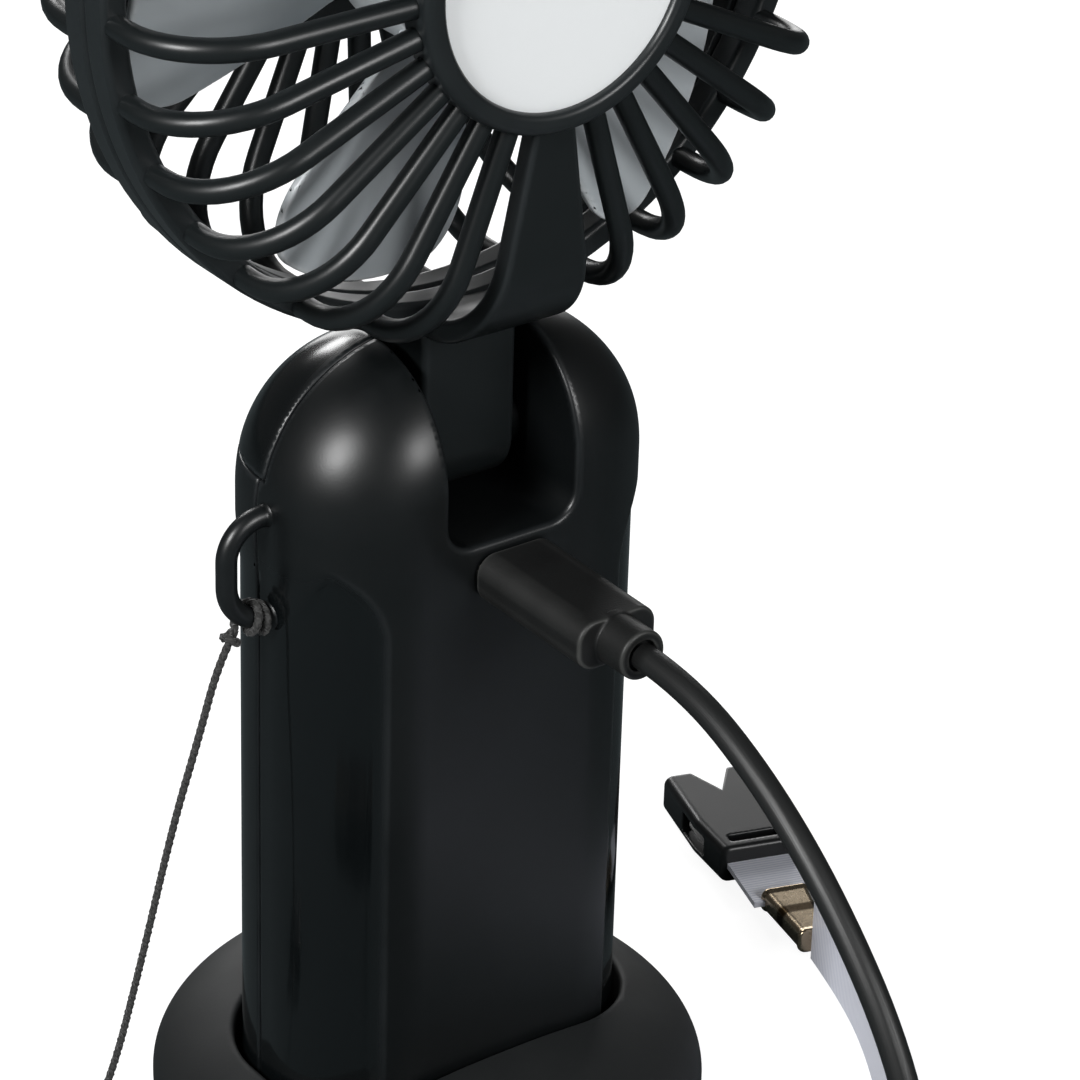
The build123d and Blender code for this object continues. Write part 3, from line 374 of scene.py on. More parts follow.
def meshFromField(name, field, low, high, step, marks=None):
    # one vertex in each mixed cell and one quad for each crossed grid edge
    low = np.array(low, float)
    counts = np.ceil((np.array(high) - low) / step).astype(int) + 1
    axes = [low[i] + step * np.arange(counts[i]) for i in range(3)]
    inside = field(*np.meshgrid(*axes, indexing="ij")) < 0
    total = np.zeros(counts - 1, int)
    for corner in itertools.product((0, 1), repeat=3):
        total += inside[tuple(slice(c, c + n - 1) for c, n in zip(corner, counts))]
    mixed = (total > 0) & (total < 8)
    index = np.full(mixed.shape, -1)
    index[mixed] = np.arange(mixed.sum())
    # each vertex goes where the faces round its cell meet, so that edges stay straight
    middles = low + step * (np.argwhere(mixed) + 0.5)
    spread = np.array(list(itertools.product((-1, 1), repeat=3))) * meshing["spread"] * step
    near = pullOn(field, (middles[:, None] + spread).reshape(-1, 3), step, 3)
    facing = unit(fieldSlope(field, near)).reshape(-1, 8, 3)
    near = near.reshape(-1, 8, 3)
    mean = near.mean(1)
    square = np.einsum("nki,nkj->nij", facing, facing) + meshing["hold"] * np.eye(3)
    offset = np.einsum("nki,nki->nk", facing, near - mean[:, None])
    shift = np.linalg.solve(square, np.einsum("nki,nk->ni", facing, offset)[..., None])[..., 0]
    stray = meshing["clamp"] * step
    points = np.clip(mean + shift, middles - stray, middles + stray)
    points = pullOn(field, points, step, 2)
    quads = []
    for axis in range(3):
        before = [slice(None)] * 3
        after = [slice(None)] * 3
        before[axis], after[axis] = slice(0, -1), slice(1, None)
        start = inside[tuple(before)]
        crossed = np.argwhere(start != inside[tuple(after)])
        ring = []
        for first, second in ((0, 0), (-1, 0), (-1, -1), (0, -1)):
            cell = crossed.copy()
            cell[:, (axis + 1) % 3] += first
            cell[:, (axis + 2) % 3] += second
            ring.append(index[tuple(cell.T)])
        quad = np.stack(ring, 1)
        turned = ~start[tuple(crossed.T)]
        quad[turned] = quad[turned][:, ::-1]
        quads.append(quad)
    normals = unit(fieldSlope(field, points))
    # how sharply the surface bends outwards, for the lighter edges: partly rubbed wear, partly painted highlight
    bend = np.zeros(len(points))
    for axis in range(3):
        aside = np.zeros(3)
        aside[axis] = meshing["bendReach"]
        bend += field(*(points + aside).T) + field(*(points - aside).T)
    shown = {"edge": np.clip(bend * meshing["bendGain"], 0, 1)}
    shown.update({mark: value(*points.T) for mark, value in (marks or {}).items()})
    return smoothPiece(name, points, np.concatenate(quads).tolist(), normals, shown)


def smoothPiece(name, points, faces, normals, marks):
    # points are millimetres; a mark has a value for each of them
    mesh = bpy.data.meshes.new(name)
    mesh.from_pydata((points * mm).tolist(), [], faces)
    mesh.polygons.foreach_set("use_smooth", np.ones(len(mesh.polygons), bool))
    mesh.normals_split_custom_set_from_vertices(normals.tolist())
    for mark, values in marks.items():
        layer = mesh.attributes.new(mark, "FLOAT", "POINT")
        layer.data.foreach_set("value", np.asarray(values, np.float32))
    print(name, len(mesh.polygons), "faces")
    return addObject(name, mesh)


def shadeFlat(piece):
    piece.data.polygons.foreach_set("use_smooth", np.zeros(len(piece.data.polygons), bool))


def dress(piece, material, body, slot, *standsFor):
    # a grown piece has its material already, and a piece given no body stays unattached
    if material:
        piece.data.materials.append(material)
    if body:
        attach(piece, body)
    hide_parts(*standsFor)
    return piece


def fieldPiece(name, field, low, high, step, material, body, slot, node, marks=None):
    return dress(meshFromField(name, field, low, high, step, marks), material, body, slot, node)


# Turned pieces: an outline of (radius, height, corner radius), anticlockwise, swept round an axis
turning = {
    "sides": 128,
    "cornerStops": 7,
    "leastCorner": 0.02,
    "edgeWearAndHighlight": 0.6,
    "edgeTurn": 0.5,
    "edgeCorner": 0.1,
}


def roundOutline(corners):
    points, normals, marks = [], [], []
    for i, (r, h, radius) in enumerate(corners):
        here = np.array((r, h))
        ahead = unit(here - np.array(corners[i - 1][:2]))
        onward = unit(np.array(corners[(i + 1) % len(corners)][:2]) - here)
        turn = math.atan2(ahead[0] * onward[1] - ahead[1] * onward[0], ahead.dot(onward))
        bulge = math.copysign(max(radius, turning["leastCorner"]), turn)
        out = np.array((ahead[1], -ahead[0]))
        centre = here - ahead * abs(bulge * math.tan(turn / 2)) - out * bulge
        for angle in np.linspace(0, turn, turning["cornerStops"]):
            c, n = math.cos(angle), math.sin(angle)
            normal = np.array((out[0] * c - out[1] * n, out[0] * n + out[1] * c))
            points.append(centre + normal * bulge)
            normals.append(normal)
            # sharp outer corners get the lighter edge colour: partly rubbed wear, partly painted highlight
            edgeWornAndLit = turn > turning["edgeTurn"] and radius > turning["edgeCorner"]
            marks.append(turning["edgeWearAndHighlight"] if edgeWornAndLit else 0.0)
    return np.array(points), np.array(normals), marks


def lathe(name, corners, centre, axis):
    outline, normals, marks = roundOutline(corners)
    sides = turning["sides"]
    axis = np.array(axis, float)
    first = np.array((0, 0, 1.0) if abs(axis[2]) < 0.5 else (1.0, 0, 0))
    second = np.cross(axis, first)
    turns = np.linspace(0, 2 * np.pi, sides, endpoint=False)
    around = np.cos(turns)[:, None] * first + np.sin(turns)[:, None] * second
    points = np.array(centre) + around[:, None] * outline[:, :1] + axis * outline[:, 1:]
    facing = around[:, None] * normals[:, :1] + axis * normals[:, 1:]
    count = len(outline)
    faces = []
    for j in range(sides):
        k = (j + 1) % sides
        for i in range(count):
            n = (i + 1) % count
            faces.append((j * count + i, k * count + i, k * count + n, j * count + n))
    return smoothPiece(name, points.reshape(-1, 3), faces, facing.reshape(-1, 3), {"edge": marks * sides})


def ringOutline(inner, outer, low, high, corner):
    return [(inner, low, corner), (outer, low, corner), (outer, high, corner), (inner, high, corner)]


def localField(shape, origin, ahead):
    # shape takes side, along and up, measured from origin
    ahead = unit(np.array(ahead, float))

    def field(x, y, z):
        dx, dy = x - origin[0], y - origin[1]
        return shape(dx * ahead[1] - dy * ahead[0], dx * ahead[0] + dy * ahead[1], z - origin[2])
    return field


def localPiece(name, shape, origin, ahead, reach, step, material, slot, node, marks=None):
    # reach is the half width, and the ends along and up, all from origin
    side, along, up = reach
    heading = unit(np.array(ahead, float))
    across = np.array((heading[1], -heading[0], 0))
    ends = [np.array(origin) + heading * a + across * b for a in along for b in (-side, side)]
    low, high = np.min(ends, 0) + (0, 0, up[0]), np.max(ends, 0) + (0, 0, up[1])
    field = localField(shape, origin, ahead)
    marks = {mark: localField(value, origin, ahead) for mark, value in (marks or {}).items()}
    return fieldPiece(name, field, low, high, step, material, "base", slot, node, marks)


# Routes of cords: the same points as the solids follow, on one smooth line
def routeLine(points, steps):
    data = bpy.data.curves.new("route", "CURVE")
    data.dimensions = "3D"
    spline = data.splines.new("NURBS")
    spline.points.add(len(points) - 1)
    for point, place in zip(spline.points, points):
        point.co = (*[c * mm for c in place], 1.0)
    spline.order_u = 3
    spline.use_endpoint_u = True
    spline.resolution_u = steps
    guide = addObject("route", data)
    bpy.context.view_layer.update()
    mesh = bpy.data.meshes.new_from_object(guide.evaluated_get(bpy.context.evaluated_depsgraph_get()))
    line = np.array([v.co for v in mesh.vertices])
    bpy.data.objects.remove(guide)
    bpy.data.meshes.remove(mesh)
    keep = np.r_[True, np.linalg.norm(np.diff(line, axis=0), axis=1) > 1e-7]
    return line[keep]


def sweepSection(name, line, section, upright=False, twist=0.0):
    # section is a closed ring of (side, up) in metres; twist is turns per metre
    tangent = np.gradient(line, axis=0)
    tangent /= np.linalg.norm(tangent, axis=1)[:, None]
    run = np.r_[0, np.cumsum(np.linalg.norm(np.diff(line, axis=0), axis=1))]
    section = np.array(section)
    count = len(section)
    side = np.cross(tangent[0], (0, 0, 1))
    if np.linalg.norm(side) < 0.1:
        side = np.cross(tangent[0], (1, 0, 0))
    rings = []
    for place, ahead, far in zip(line, tangent, run):
        if upright:
            side = np.cross(ahead, (0, 0, 1))
        side = side - ahead * side.dot(ahead)
        side = side / np.linalg.norm(side)
        up = np.cross(side, ahead)
        angle = 2 * math.pi * twist * far
        c, n = math.cos(angle), math.sin(angle)
        turned = section @ np.array([[c, n], [-n, c]])
        rings.append(place + turned[:, :1] * side + turned[:, 1:] * up)
    points = np.concatenate(rings)
    faces, places = [], []
    for ring in range(len(line) - 1):
        for k in range(count):
            n = (k + 1) % count
            faces.append((ring * count + k, ring * count + n, (ring + 1) * count + n, (ring + 1) * count + k))
            near, far = run[ring], run[ring + 1]
            places += [(near, k / count), (near, (k + 1) / count), (far, (k + 1) / count), (far, k / count)]
    last = (len(line) - 1) * count
    faces.append(tuple(range(count - 1, -1, -1)))
    faces.append(tuple(range(last, last + count)))
    places += [(0, 0)] * count + [(run[-1], 0)] * count
    mesh = bpy.data.meshes.new(name)
    mesh.from_pydata(points.tolist(), [], faces)
    layer = mesh.uv_layers.new(name="route")
    layer.data.foreach_set("uv", np.array(places, np.float32).ravel())
    mesh.polygons.foreach_set("use_smooth", np.ones(len(mesh.polygons), bool))
    mesh.update()
    return addObject(name, mesh)


def ringSection(radius, sides, lobes=0, lobeDepth=0.0):
    turns = np.linspace(0, 2 * np.pi, sides, endpoint=False)
    reach = radius * (1 - lobeDepth + lobeDepth * np.cos(lobes * turns))
    return np.stack([reach * np.cos(turns), reach * np.sin(turns)], 1)


# Charging lead: down from the plug to the floor, wound into a coil, and out to the second plug
plugBox = boxMm("usb_c_plug")
leadStart = plugBox[1][1]
leadTop = (plugBox[0][2] + plugBox[1][2]) / 2
lead = {
    "diameter": 3.2,
    "floor": 2.2,
    "coilRadius": 24.0,
    "coilPitch": 4.0,
    "coilLayer": 4.0,
    "coilTurns": 3,
    "pointsPerTurn": 16,
    "tail": 26.0,
    "usbAMiddle": 3.8,
    "length": 0.556,
    "curveSteps": 8,
    "sides": 20,
}
leadRoute = [
    (0, leadStart, leadTop),
    (0, 47.5, leadTop),
    (0, 60.5, leadTop - 5),
    (0, 73, leadTop - 13.5),
    (0, 85, leadTop - 26),
    (0, 91.5, leadTop - 41),
    (0.8, 95.3, 24.0),
    (5.2, 100.0, 14.4),
    (13.8, 102.2, 6.6),
    (25.0, 100.2, lead["floor"]),
    (35.2, 93.6, lead["floor"]),
]
coilHeading = np.array(leadRoute[-1]) - np.array(leadRoute[-2])
coilHeading = coilHeading / np.linalg.norm(coilHeading)
coilSide = np.array((coilHeading[1], -coilHeading[0], 0))
coilCentre = np.array(leadRoute[-1]) + coilSide * lead["coilRadius"]


def coilPoint(turn):
    half = lead["coilTurns"] / 2
    radius = lead["coilRadius"] - lead["coilPitch"] * (half - abs(turn - half))
    radius /= math.cos(math.pi / lead["pointsPerTurn"])  # the smooth line passes inside its points
    climb = float(smoothRamp((turn - half + 0.25) / 0.5))
    angle = 2 * math.pi * turn
    outward = -coilSide * math.cos(angle) + coilHeading * math.sin(angle)
    return coilCentre + outward * radius + np.array((0, 0, lead["coilLayer"] * climb))


def makeLead():
    route = list(leadRoute)
    steps = lead["coilTurns"] * lead["pointsPerTurn"]
    route += [tuple(coilPoint(i / lead["pointsPerTurn"])) for i in range(1, steps + 1)]
    end = np.array(leadRoute[-1]) + np.array((0, 0, lead["coilLayer"]))
    fall = end[2] - lead["usbAMiddle"]
    for share, drop in ((0.3, 0.05), (0.5, 0.5), (0.7, 0.95), (1.0, 1.0)):
        route.append(tuple(end + coilHeading * lead["tail"] * share - np.array((0, 0, fall * drop))))
    line = routeLine(route, lead["curveSteps"])
    piece = sweepSection("chargingLead", line, ringSection(lead["diameter"] / 2 * mm, lead["sides"]))
    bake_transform(piece)
    dress(piece, jacketRubber, None, "cable_tpe", "cable_free", "cable_coil")
    return piece, line


# Lanyard cord: from the hitch on the eyelet down to its half of the buckle
lanyard = {
    "diameter": 1.0,
    "length": 0.0855,
    "twist": 260.0,
    "strands": 4,
    "strandDepth": 0.09,
    "curveSteps": 24,
    "sides": 24,
}
lanyardRoute = [
    (28.59, 1.0, 74.27),
    (30.79, 1.0, 70.87),
    (33.0, 0, 61.0),
    (36.6, 0, 50.5),
    (41.0, 0, 34.0),
    (45.2, -1.0, 17.0),
    (50.0, -3.0, 6.0),
    (57.0, -5.0, 2.75),
    (63.0, -5.0, 2.75),
]


def braid(name, points, steps, sides):
    line = routeLine(points, steps)
    section = ringSection(lanyard["diameter"] / 2 * mm, sides, lanyard["strands"], lanyard["strandDepth"])
    return sweepSection(name, line, section, twist=lanyard["twist"]), line


def makeLanyard():
    piece, line = braid("lanyardCord", lanyardRoute, lanyard["curveSteps"], lanyard["sides"])
    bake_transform(piece)
    dress(piece, braidedNylon, None, "cord_nylon", "lanyard_cord")
    return piece, line


# Hitch: two turns round the lower bend of the eyelet, then one round the cord itself
hitch = {
    "turns": 2,
    "stops": 33,
    "slant": 84,
    "slantPerTurn": 14.5,
    "ringStops": 13,
    "ringStart": 1.1,
    "ringClimb": 0.05,
    "ringReach": 0.9,
    "curveSteps": 6,
    "sides": 16,
}


def makeHitch():
    bendX = eyelet["outside"] - eyelet["lower"]
    bendZ = eyelet["middle"] - eyelet["half"] + eyelet["lower"]
    wrap = eyelet["bar"] + lanyard["diameter"] / 2
    points = []
    for t in np.linspace(0, hitch["turns"], hitch["stops"]):
        slant = math.radians(hitch["slant"] - hitch["slantPerTurn"] * t)
        reach = eyelet["lower"] + wrap * math.cos(2 * math.pi * t)
        points.append((
            bendX + reach * math.cos(slant), eyelet["y"] + wrap * math.sin(2 * math.pi * t),
            bendZ - reach * math.sin(slant),
        ))
    start = np.array(lanyardRoute[0])
    ahead = unit(np.array(lanyardRoute[1]) - start)
    aside, across = np.array((-ahead[2], 0, ahead[0])), np.array((0, 1.0, 0))
    for turn in np.linspace(0, 2 * math.pi, hitch["ringStops"]):
        ring = aside * math.cos(turn) + across * math.sin(turn)
        along = ahead * (hitch["ringStart"] + hitch["ringClimb"] * turn)
        points.append(tuple(start + along + ring * lanyard["diameter"] * hitch["ringReach"]))
    piece, line = braid("lanyardHitch", points, hitch["curveSteps"], hitch["sides"])
    dress(piece, braidedNylon, "handle", "cord_nylon", "lanyard_knot")


# Strap: doubled ribbon on edge, from its crimp to a roll behind the base
strap = {
    "width": 10.0,
    "thickness": 1.0,
    "slot": 0.14,
    "slotDepth": 1.2,
    "rollRadius": 25.0,
    "rollPitch": 4.0,
    "rollTurns": 3,
    "pointsPerTurn": 16,
    "length": 0.475,
    "middle": 5.0,
    "crimpEnd": 40,
    "straight": 10.5,
    "curveSteps": 8,
}
strapHeading = np.array((0.30, 0.954, 0)) / math.hypot(0.30, 0.954)
strapMouth = np.array((-70.0, -33.0, 0))
ribbonStart = strapMouth + strapHeading * strap["crimpEnd"] + np.array((0, 0, strap["middle"]))
strapRoute = [
    tuple(ribbonStart),
    tuple(ribbonStart + strapHeading * strap["straight"]),
    (-49.5, 26.8, strap["middle"]),
    (-41.5, 39.5, strap["middle"]),
    (-31.9, 53.5, strap["middle"]),
    (-23.8, 68.0, strap["middle"]),
    (-20.0, 81.0, strap["middle"]),
    (-20.0, 94.0, strap["middle"]),
]


def makeStrap():
    route = list(strapRoute)
    place = np.array(route[-1])
    halfSteps = strap["pointsPerTurn"] // 2
    for half in range(2 * strap["rollTurns"]):
        radius = strap["rollRadius"] - strap["rollPitch"] / 2 * half
        inward = np.array((-1.0 if half % 2 == 0 else 1.0, 0, 0))
        centre = place + inward * radius
        ahead = np.array((0, 1.0 if half % 2 == 0 else -1.0, 0))
        wide = radius / math.cos(math.pi / strap["pointsPerTurn"])
        for k in range(1, halfSteps + 1):
            angle = math.pi * k / halfSteps
            reach = radius if k == halfSteps else wide
            turned = ahead * reach * math.sin(angle)
            route.append(tuple(centre - inward * reach * math.cos(angle) + turned))
        place = centre + inward * radius
    line = routeLine(route, strap["curveSteps"])
    t, w = strap["thickness"] / 2 * mm, strap["width"] / 2 * mm
    s, d = strap["slot"] / 2 * mm, strap["slotDepth"] * mm
    section = [
        (t, -w), (t, 0), (t, w), (s, w), (s, w - d), (-s, w - d), (-s, w),
        (-t, w), (-t, 0), (-t, -w), (-s, -w), (-s, d - w), (s, d - w), (s, -w),
    ]
    piece = sweepSection("strapRibbon", line, section[::-1], upright=True)
    shadeFlat(piece)
    dress(piece, ribbonSatin, "base", "ribbon_satin", "strap_run", "strap_roll")
    return piece, line


leadPiece, leadLine = makeLead()
lanyardPiece, lanyardLine = makeLanyard()
strapPiece, strapLine = makeStrap()
print("cords laid")


# Handle: two shells and a top cover on one blank, with a notch for the neck and polished grip strips
shellLow, shellHigh = boxMm("handle_rear_shell")
handle = {
    "halfWidth": shellHigh[0],
    "halfDepth": shellHigh[1],
    "bottom": shellLow[2],
    "top": shellHigh[2],
    "corner": 13.5,
    "shoulder": 18.5,
    "parting": -0.9,
    "coverParting": 0.1,
    "coverStep": hingeZ + 0.3,
    "seamGap": 0.2,
    "seamEdge": 0.25,
    "panelHalf": 16.0,
    "gripTop": hingeZ - 6.0,
    "gripArch": 11.0,
    "gripDepth": (0.35, 0.9),
    "gripSlope": 1.5,
    "notchHalf": 8.86,
    "notchFloor": hingeZ - 7.0,
    "notchCorner": 3.5,
    "notchFront": -6.05,
    "notchEdge": 0.6,
    "footEdge": 1.0,
    "gripSpread": (21, 3, 6),  # where the slope widens, over what width, and by how much
    "depthSpread": 6,
    "notchInner": 0.5,
    "port": (4.7, 1.85, 1.8),  # half width, half height, corner
    "portEnd": 7.0,
    "buttonZ": middleZ("power_button"),
    "buttonHole": (6.8, -11.5),  # radius, inner end
    "lampZ": middleZ("charge_lamps"),
    "lampX": (-4.8, -1.6, 1.6, 4.8),
    "lampHole": (0.9, -12.0),
    "holeEdge": 0.2,
    "coverPolish": 0.6,
    "polishFade": (0.4, 1.6),  # from the seam, over what width
    "step": 0.42,
}


def handleBlank(x, y, z):
    over = np.clip(z - hingeZ - handle["halfDepth"] + handle["shoulder"], 0, handle["shoulder"] * 0.998)
    above = np.clip(z - hingeZ, 0, handle["halfDepth"] * 0.998)
    reachX = np.sqrt(handle["shoulder"] ** 2 - over ** 2)
    reachY = np.sqrt(handle["halfDepth"] ** 2 - above ** 2)
    corner = handle["corner"] * reachY / handle["halfDepth"]
    aside = np.abs(x) - (handle["halfWidth"] - handle["shoulder"] + reachX) + corner
    back = np.abs(y) - reachY + corner
    outX, outY = np.maximum(aside, 0), np.maximum(back, 0)
    length = np.hypot(outX, outY)
    lean = (outX * over / reachX + outY * above / reachY) / np.maximum(length, 1e-6)
    wall = length + np.minimum(np.maximum(aside, back), 0) - corner
    wall = wall / np.sqrt(1 + np.minimum(lean, 4) ** 2)
    return roundMax(np.maximum(wall, z - handle["top"]), handle["bottom"] - z, handle["footEdge"])


def gripStrip(x, y, z):
    inside = roundMax(handle["panelHalf"] - np.abs(x), z - handle["gripTop"], handle["gripArch"])
    start, width, added = handle["gripSpread"]
    return smoothRamp(-inside / (handle["gripSlope"] + added * smoothRamp((np.abs(x) - start) / width)))


def handleBody(x, y, z):
    # the strips are deepest beside the panel and fade towards the sides
    side, inner = handle["gripDepth"]
    depth = side + (inner - side) * smoothRamp((handle["halfWidth"] - np.abs(x)) / handle["depthSpread"])
    return handleBlank(x, y, z) + depth * gripStrip(x, y, z)


def neckNotch(x, y, z):
    sides = roundMax(np.abs(x) - handle["notchHalf"], handle["notchFloor"] - z, handle["notchCorner"])
    return roundMax(sides, handle["notchFront"] - y, handle["notchInner"])


def rearShellField(x, y, z):
    body = roundMax(handleBody(x, y, z), handle["parting"] - y, handle["seamEdge"])
    cover = np.maximum(handle["coverStep"] - z, y - handle["coverParting"])
    body = roundMax(body, -cover, handle["seamEdge"])
    body = roundMax(body, -neckNotch(x, y, z), handle["notchEdge"])
    port = np.maximum(roundRect(x, z - leadTop, *handle["port"]), handle["portEnd"] - y)
    return roundMax(body, -port, handle["holeEdge"])


def frontShellField(x, y, z):
    body = roundMax(handleBody(x, y, z), y - handle["parting"] + handle["seamGap"], handle["seamEdge"])
    body = roundMax(body, z - handle["coverStep"], handle["seamEdge"])
    body = roundMax(body, -neckNotch(x, y, z), handle["notchEdge"])
    radius, end = handle["buttonHole"]
    hole = np.maximum(np.hypot(x, z - handle["buttonZ"]) - radius, y - end)
    radius, end = handle["lampHole"]
    for place in handle["lampX"]:
        lamp = np.maximum(np.hypot(x - place, z - handle["lampZ"]) - radius, y - end)
        hole = np.minimum(hole, lamp)
    return roundMax(body, -hole, handle["holeEdge"])


def topCoverField(x, y, z):
    body = roundMax(
        handleBlank(x, y, z), y - handle["coverParting"] + handle["seamGap"], handle["seamEdge"]
    )
    body = roundMax(body, handle["coverStep"] + handle["seamGap"] - z, handle["seamEdge"])
    return roundMax(body, -neckNotch(x, y, z), handle["notchEdge"])


def coverPolish(x, y, z):
    start, width = handle["polishFade"]
    return handle["coverPolish"] * smoothRamp((handle["coverParting"] - start - y) / width)


def makeHandle():
    wide, deep = handle["halfWidth"] + 1, handle["halfDepth"] + 1
    low, high, split = handle["bottom"] - 1, handle["top"] + 1, handle["coverStep"]
    rearY, frontY, coverY = handle["parting"] - 1, handle["parting"] + 1, handle["coverParting"] + 1
    for name, field, start, end, polish, node in (
        (
            "rearShell", rearShellField, (-wide, rearY, low), (wide, deep, high),
            gripStrip, "handle_rear_shell",
        ), (
            "frontShell", frontShellField, (-wide, -deep, low), (wide, frontY, split + 1),
            gripStrip, "handle_front_shell",
        ), (
            "topCover", topCoverField, (-wide, -deep, split - 1), (wide, coverY, high),
            coverPolish, "handle_top_cover",
        ),
    ):
        fieldPiece(
            name, field, start, end, handle["step"],
            handlePlastic, "handle", "satin_abs", node, {"polish": polish},
        )


makeHandle()


# Eyelet: a round bar bent to a D, swelling where it leaves the shell
eyeletLow, eyeletHigh = boxMm("lanyard_eyelet")
eyeletBar = 1.25
eyelet = {
    "bar": eyeletBar,
    "y": 1.0,
    "outside": eyeletHigh[0] - eyeletBar,
    "middle": (eyeletLow[2] + eyeletHigh[2]) / 2,
    "half": (eyeletHigh[2] - eyeletLow[2]) / 2 - eyeletBar,
    "upper": 4.6,
    "lower": 5.2,
    "root": handle["halfWidth"] - 1.6,
    "swell": 0.7,
    "swellReach": (0.7, 1.4),  # beyond the shell, over what width
    "halfLength": 15,
    "step": 0.25,
}


def eyeletField(x, y, z):
    corner = np.where(z > eyelet["middle"], eyelet["upper"], eyelet["lower"])
    far = eyelet["halfLength"]
    ring = roundMax(
        np.abs(x - eyelet["outside"] + far) - far, np.abs(z - eyelet["middle"]) - eyelet["half"], corner
    )
    start, width = eyelet["swellReach"]
    thick = eyelet["bar"] + eyelet["swell"] * smoothRamp((handle["halfWidth"] + start - x) / width) ** 2
    return np.maximum(np.hypot(ring, y - eyelet["y"]) - thick, eyelet["root"] - x)


def makeEyelet():
    fieldPiece(
        "lanyardEyelet", eyeletField, (eyelet["root"] - 0.5, -1.6, eyeletLow[2] - 1.5),
        (eyeletHigh[0] + 0.6, 3.6, eyeletHigh[2] + 1.5), eyelet["step"],
        handlePlastic, "handle", "satin_abs", "lanyard_eyelet",
    )


makeEyelet()
makeHitch()


# Base: domed disc with a rounded lip round the handle's socket
baseLow, baseHigh = boxMm("base_shell")
base = {
    "radius": baseHigh[0],
    "height": 14.0,
    "bottom": baseLow[2],
    "belly": 3.6,
    "domeReach": 21.0,
    "edge": 2.0,
    "fit": 0.4,
    "lip": 0.9,
    "plateEdge": 0.2,
    "plateRadius": boxMm("base_plate")[1][0] + 0.3,
    "plateTop": boxMm("base_plate")[1][2],
    "step": 0.5,
}


def baseField(x, y, z):
    r = np.hypot(x, y)
    rise = base["height"] - base["belly"]
    out = np.maximum(r - base["radius"] + base["domeReach"], 0) / base["domeReach"]
    up = np.maximum(z - base["belly"], 0) / rise
    share = np.maximum(np.hypot(out, up), 0.05)
    slope = np.maximum(np.hypot(out / base["domeReach"], up / rise), 0.05 / base["domeReach"])
    dome = share * (share - 1) / slope
    dome = roundMax(dome, base["bottom"] - z, base["edge"])
    socket = roundRect(x, y, *[handle[size] + base["fit"] for size in ("halfWidth", "halfDepth", "corner")])
    dome = roundMax(dome, -np.maximum(socket, handle["bottom"] - z), base["lip"])
    return roundMax(dome, -np.maximum(r - base["plateRadius"], z - base["plateTop"]), base["plateEdge"])


def makeBase():
    reach = base["radius"] + 1
    fieldPiece(
        "baseShell", baseField, (-reach, -reach, base["bottom"] - 1), (reach, reach, base["height"] + 1),
        base["step"], basePlastic, "base", "base_abs", "base_shell",
    )


makeBase()
print("handle and base shaped")


# Cage: hub rim, strut and rings as one moulding, and the bars that run between them
cage = {
    "radius": 45.15,
    "bar": 2.7,
    "count": 29,
    "strutGap": 18.0,
    "rootSink": 1.0,
    "rootDepth": 1.85,
    "cornerDepth": 3.2,
    "bend": 11.5,
    "rim": 18.2,
    "rimProud": 1.0,
    "rimDepth": 4.0,
    "rimRound": 1.2,
    "label": boxMm("label_disc")[1][0],
    "labelSeat": 0.5,
    "hubPlate": 2.4,
    "wall": 2.2,
    "motor": 11.0,
    "cupWall": 1.4,
    "cupDepth": 5.0,
    "ringOuter": 46.8,
    "ringWidth": 3.2,
    "ringDepth": 16.0,
    "ringThickness": 4.0,
    "ringRound": 0.8,
    "strutRoot": 2.4,
    "strutFoot": 7.3,
    "strutEdge": 0.6,
    "frontCount": 30,
    "frontSeat": 39.5,
    "discEdge": 0.8,
    "cap": [(15.0, 0, 0.3), (15.0, 1.6, 0.7), (7.5, 2.8, 60), (0.05, 3.2, 0)],  # radius, rise, corner
    "strutStep": 0.3,
    "bendStops": 12,
    "barSides": 18,
}
cageMiddle = cage["ringDepth"] + cage["ringThickness"]


def barLine(r, depth):
    # distance from the curve that the bars and the strut follow, in a plane through the axis
    root = cage["rim"] - cage["rootSink"]
    slope = (cage["cornerDepth"] - cage["rootDepth"]) / (cage["radius"] - root)
    back = (cage["rootDepth"] + slope * (r - root) - depth) / math.hypot(1, slope)
    return roundMax(r - cage["radius"], back, cage["bend"])


def strutField(x, y, z):
    down, depth = hubZ - z, labelY - y
    root = cage["rim"] - 2.0
    half = np.interp(down, (root, cage["radius"]), (cage["strutRoot"], cage["strutFoot"]))
    body = roundMax(np.abs(barLine(down, depth)) - cage["bar"] / 2, np.abs(x) - half, cage["strutEdge"])
    return np.maximum(np.maximum(body, root - down), depth - cageMiddle)


# Repeats: one piece set round an axis or on a grid
def startTree(name, sockets):
    tree = bpy.data.node_groups.new(name, "GeometryNodeTree")
    for socket, kind in sockets.items():
        tree.interface.new_socket(socket, in_out="INPUT", socket_type="NodeSocket" + kind)
    tree.interface.new_socket("Copies", in_out="OUTPUT", socket_type="NodeSocketGeometry")
    return tree, addNode(tree, "NodeGroupInput").outputs


def endTree(tree, given, points, piece, rotation=(0, 0, 0)):
    placed = addNode(tree, "GeometryNodeInstanceOnPoints", {
        "Points": points, "Instance": piece, "Rotation": rotation,
    })
    real = addNode(tree, "GeometryNodeRealizeInstances", {"Geometry": placed.outputs[0]})
    coated = addNode(tree, "GeometryNodeSetMaterial", {
        "Geometry": real.outputs[0], "Material": given["Finish"],
    })
    addNode(tree, "NodeGroupOutput", {"Copies": coated.outputs[0]})
    return tree


def ringPoints(tree, given):
    stops = addNode(tree, "GeometryNodePoints", {"Count": given["Count"], "Position": given["Hub"]})
    order = addNode(tree, "GeometryNodeInputIndex").outputs[0]
    turn = addNode(tree, "ShaderNodeMath", {
        0: order, 1: given["Angle Step"], 2: given["First Angle"],
    }, operation="MULTIPLY_ADD")
    angle = addNode(tree, "ShaderNodeCombineXYZ", {"Y": turn.outputs[0]})
    return stops.outputs[0], angle.outputs[0]


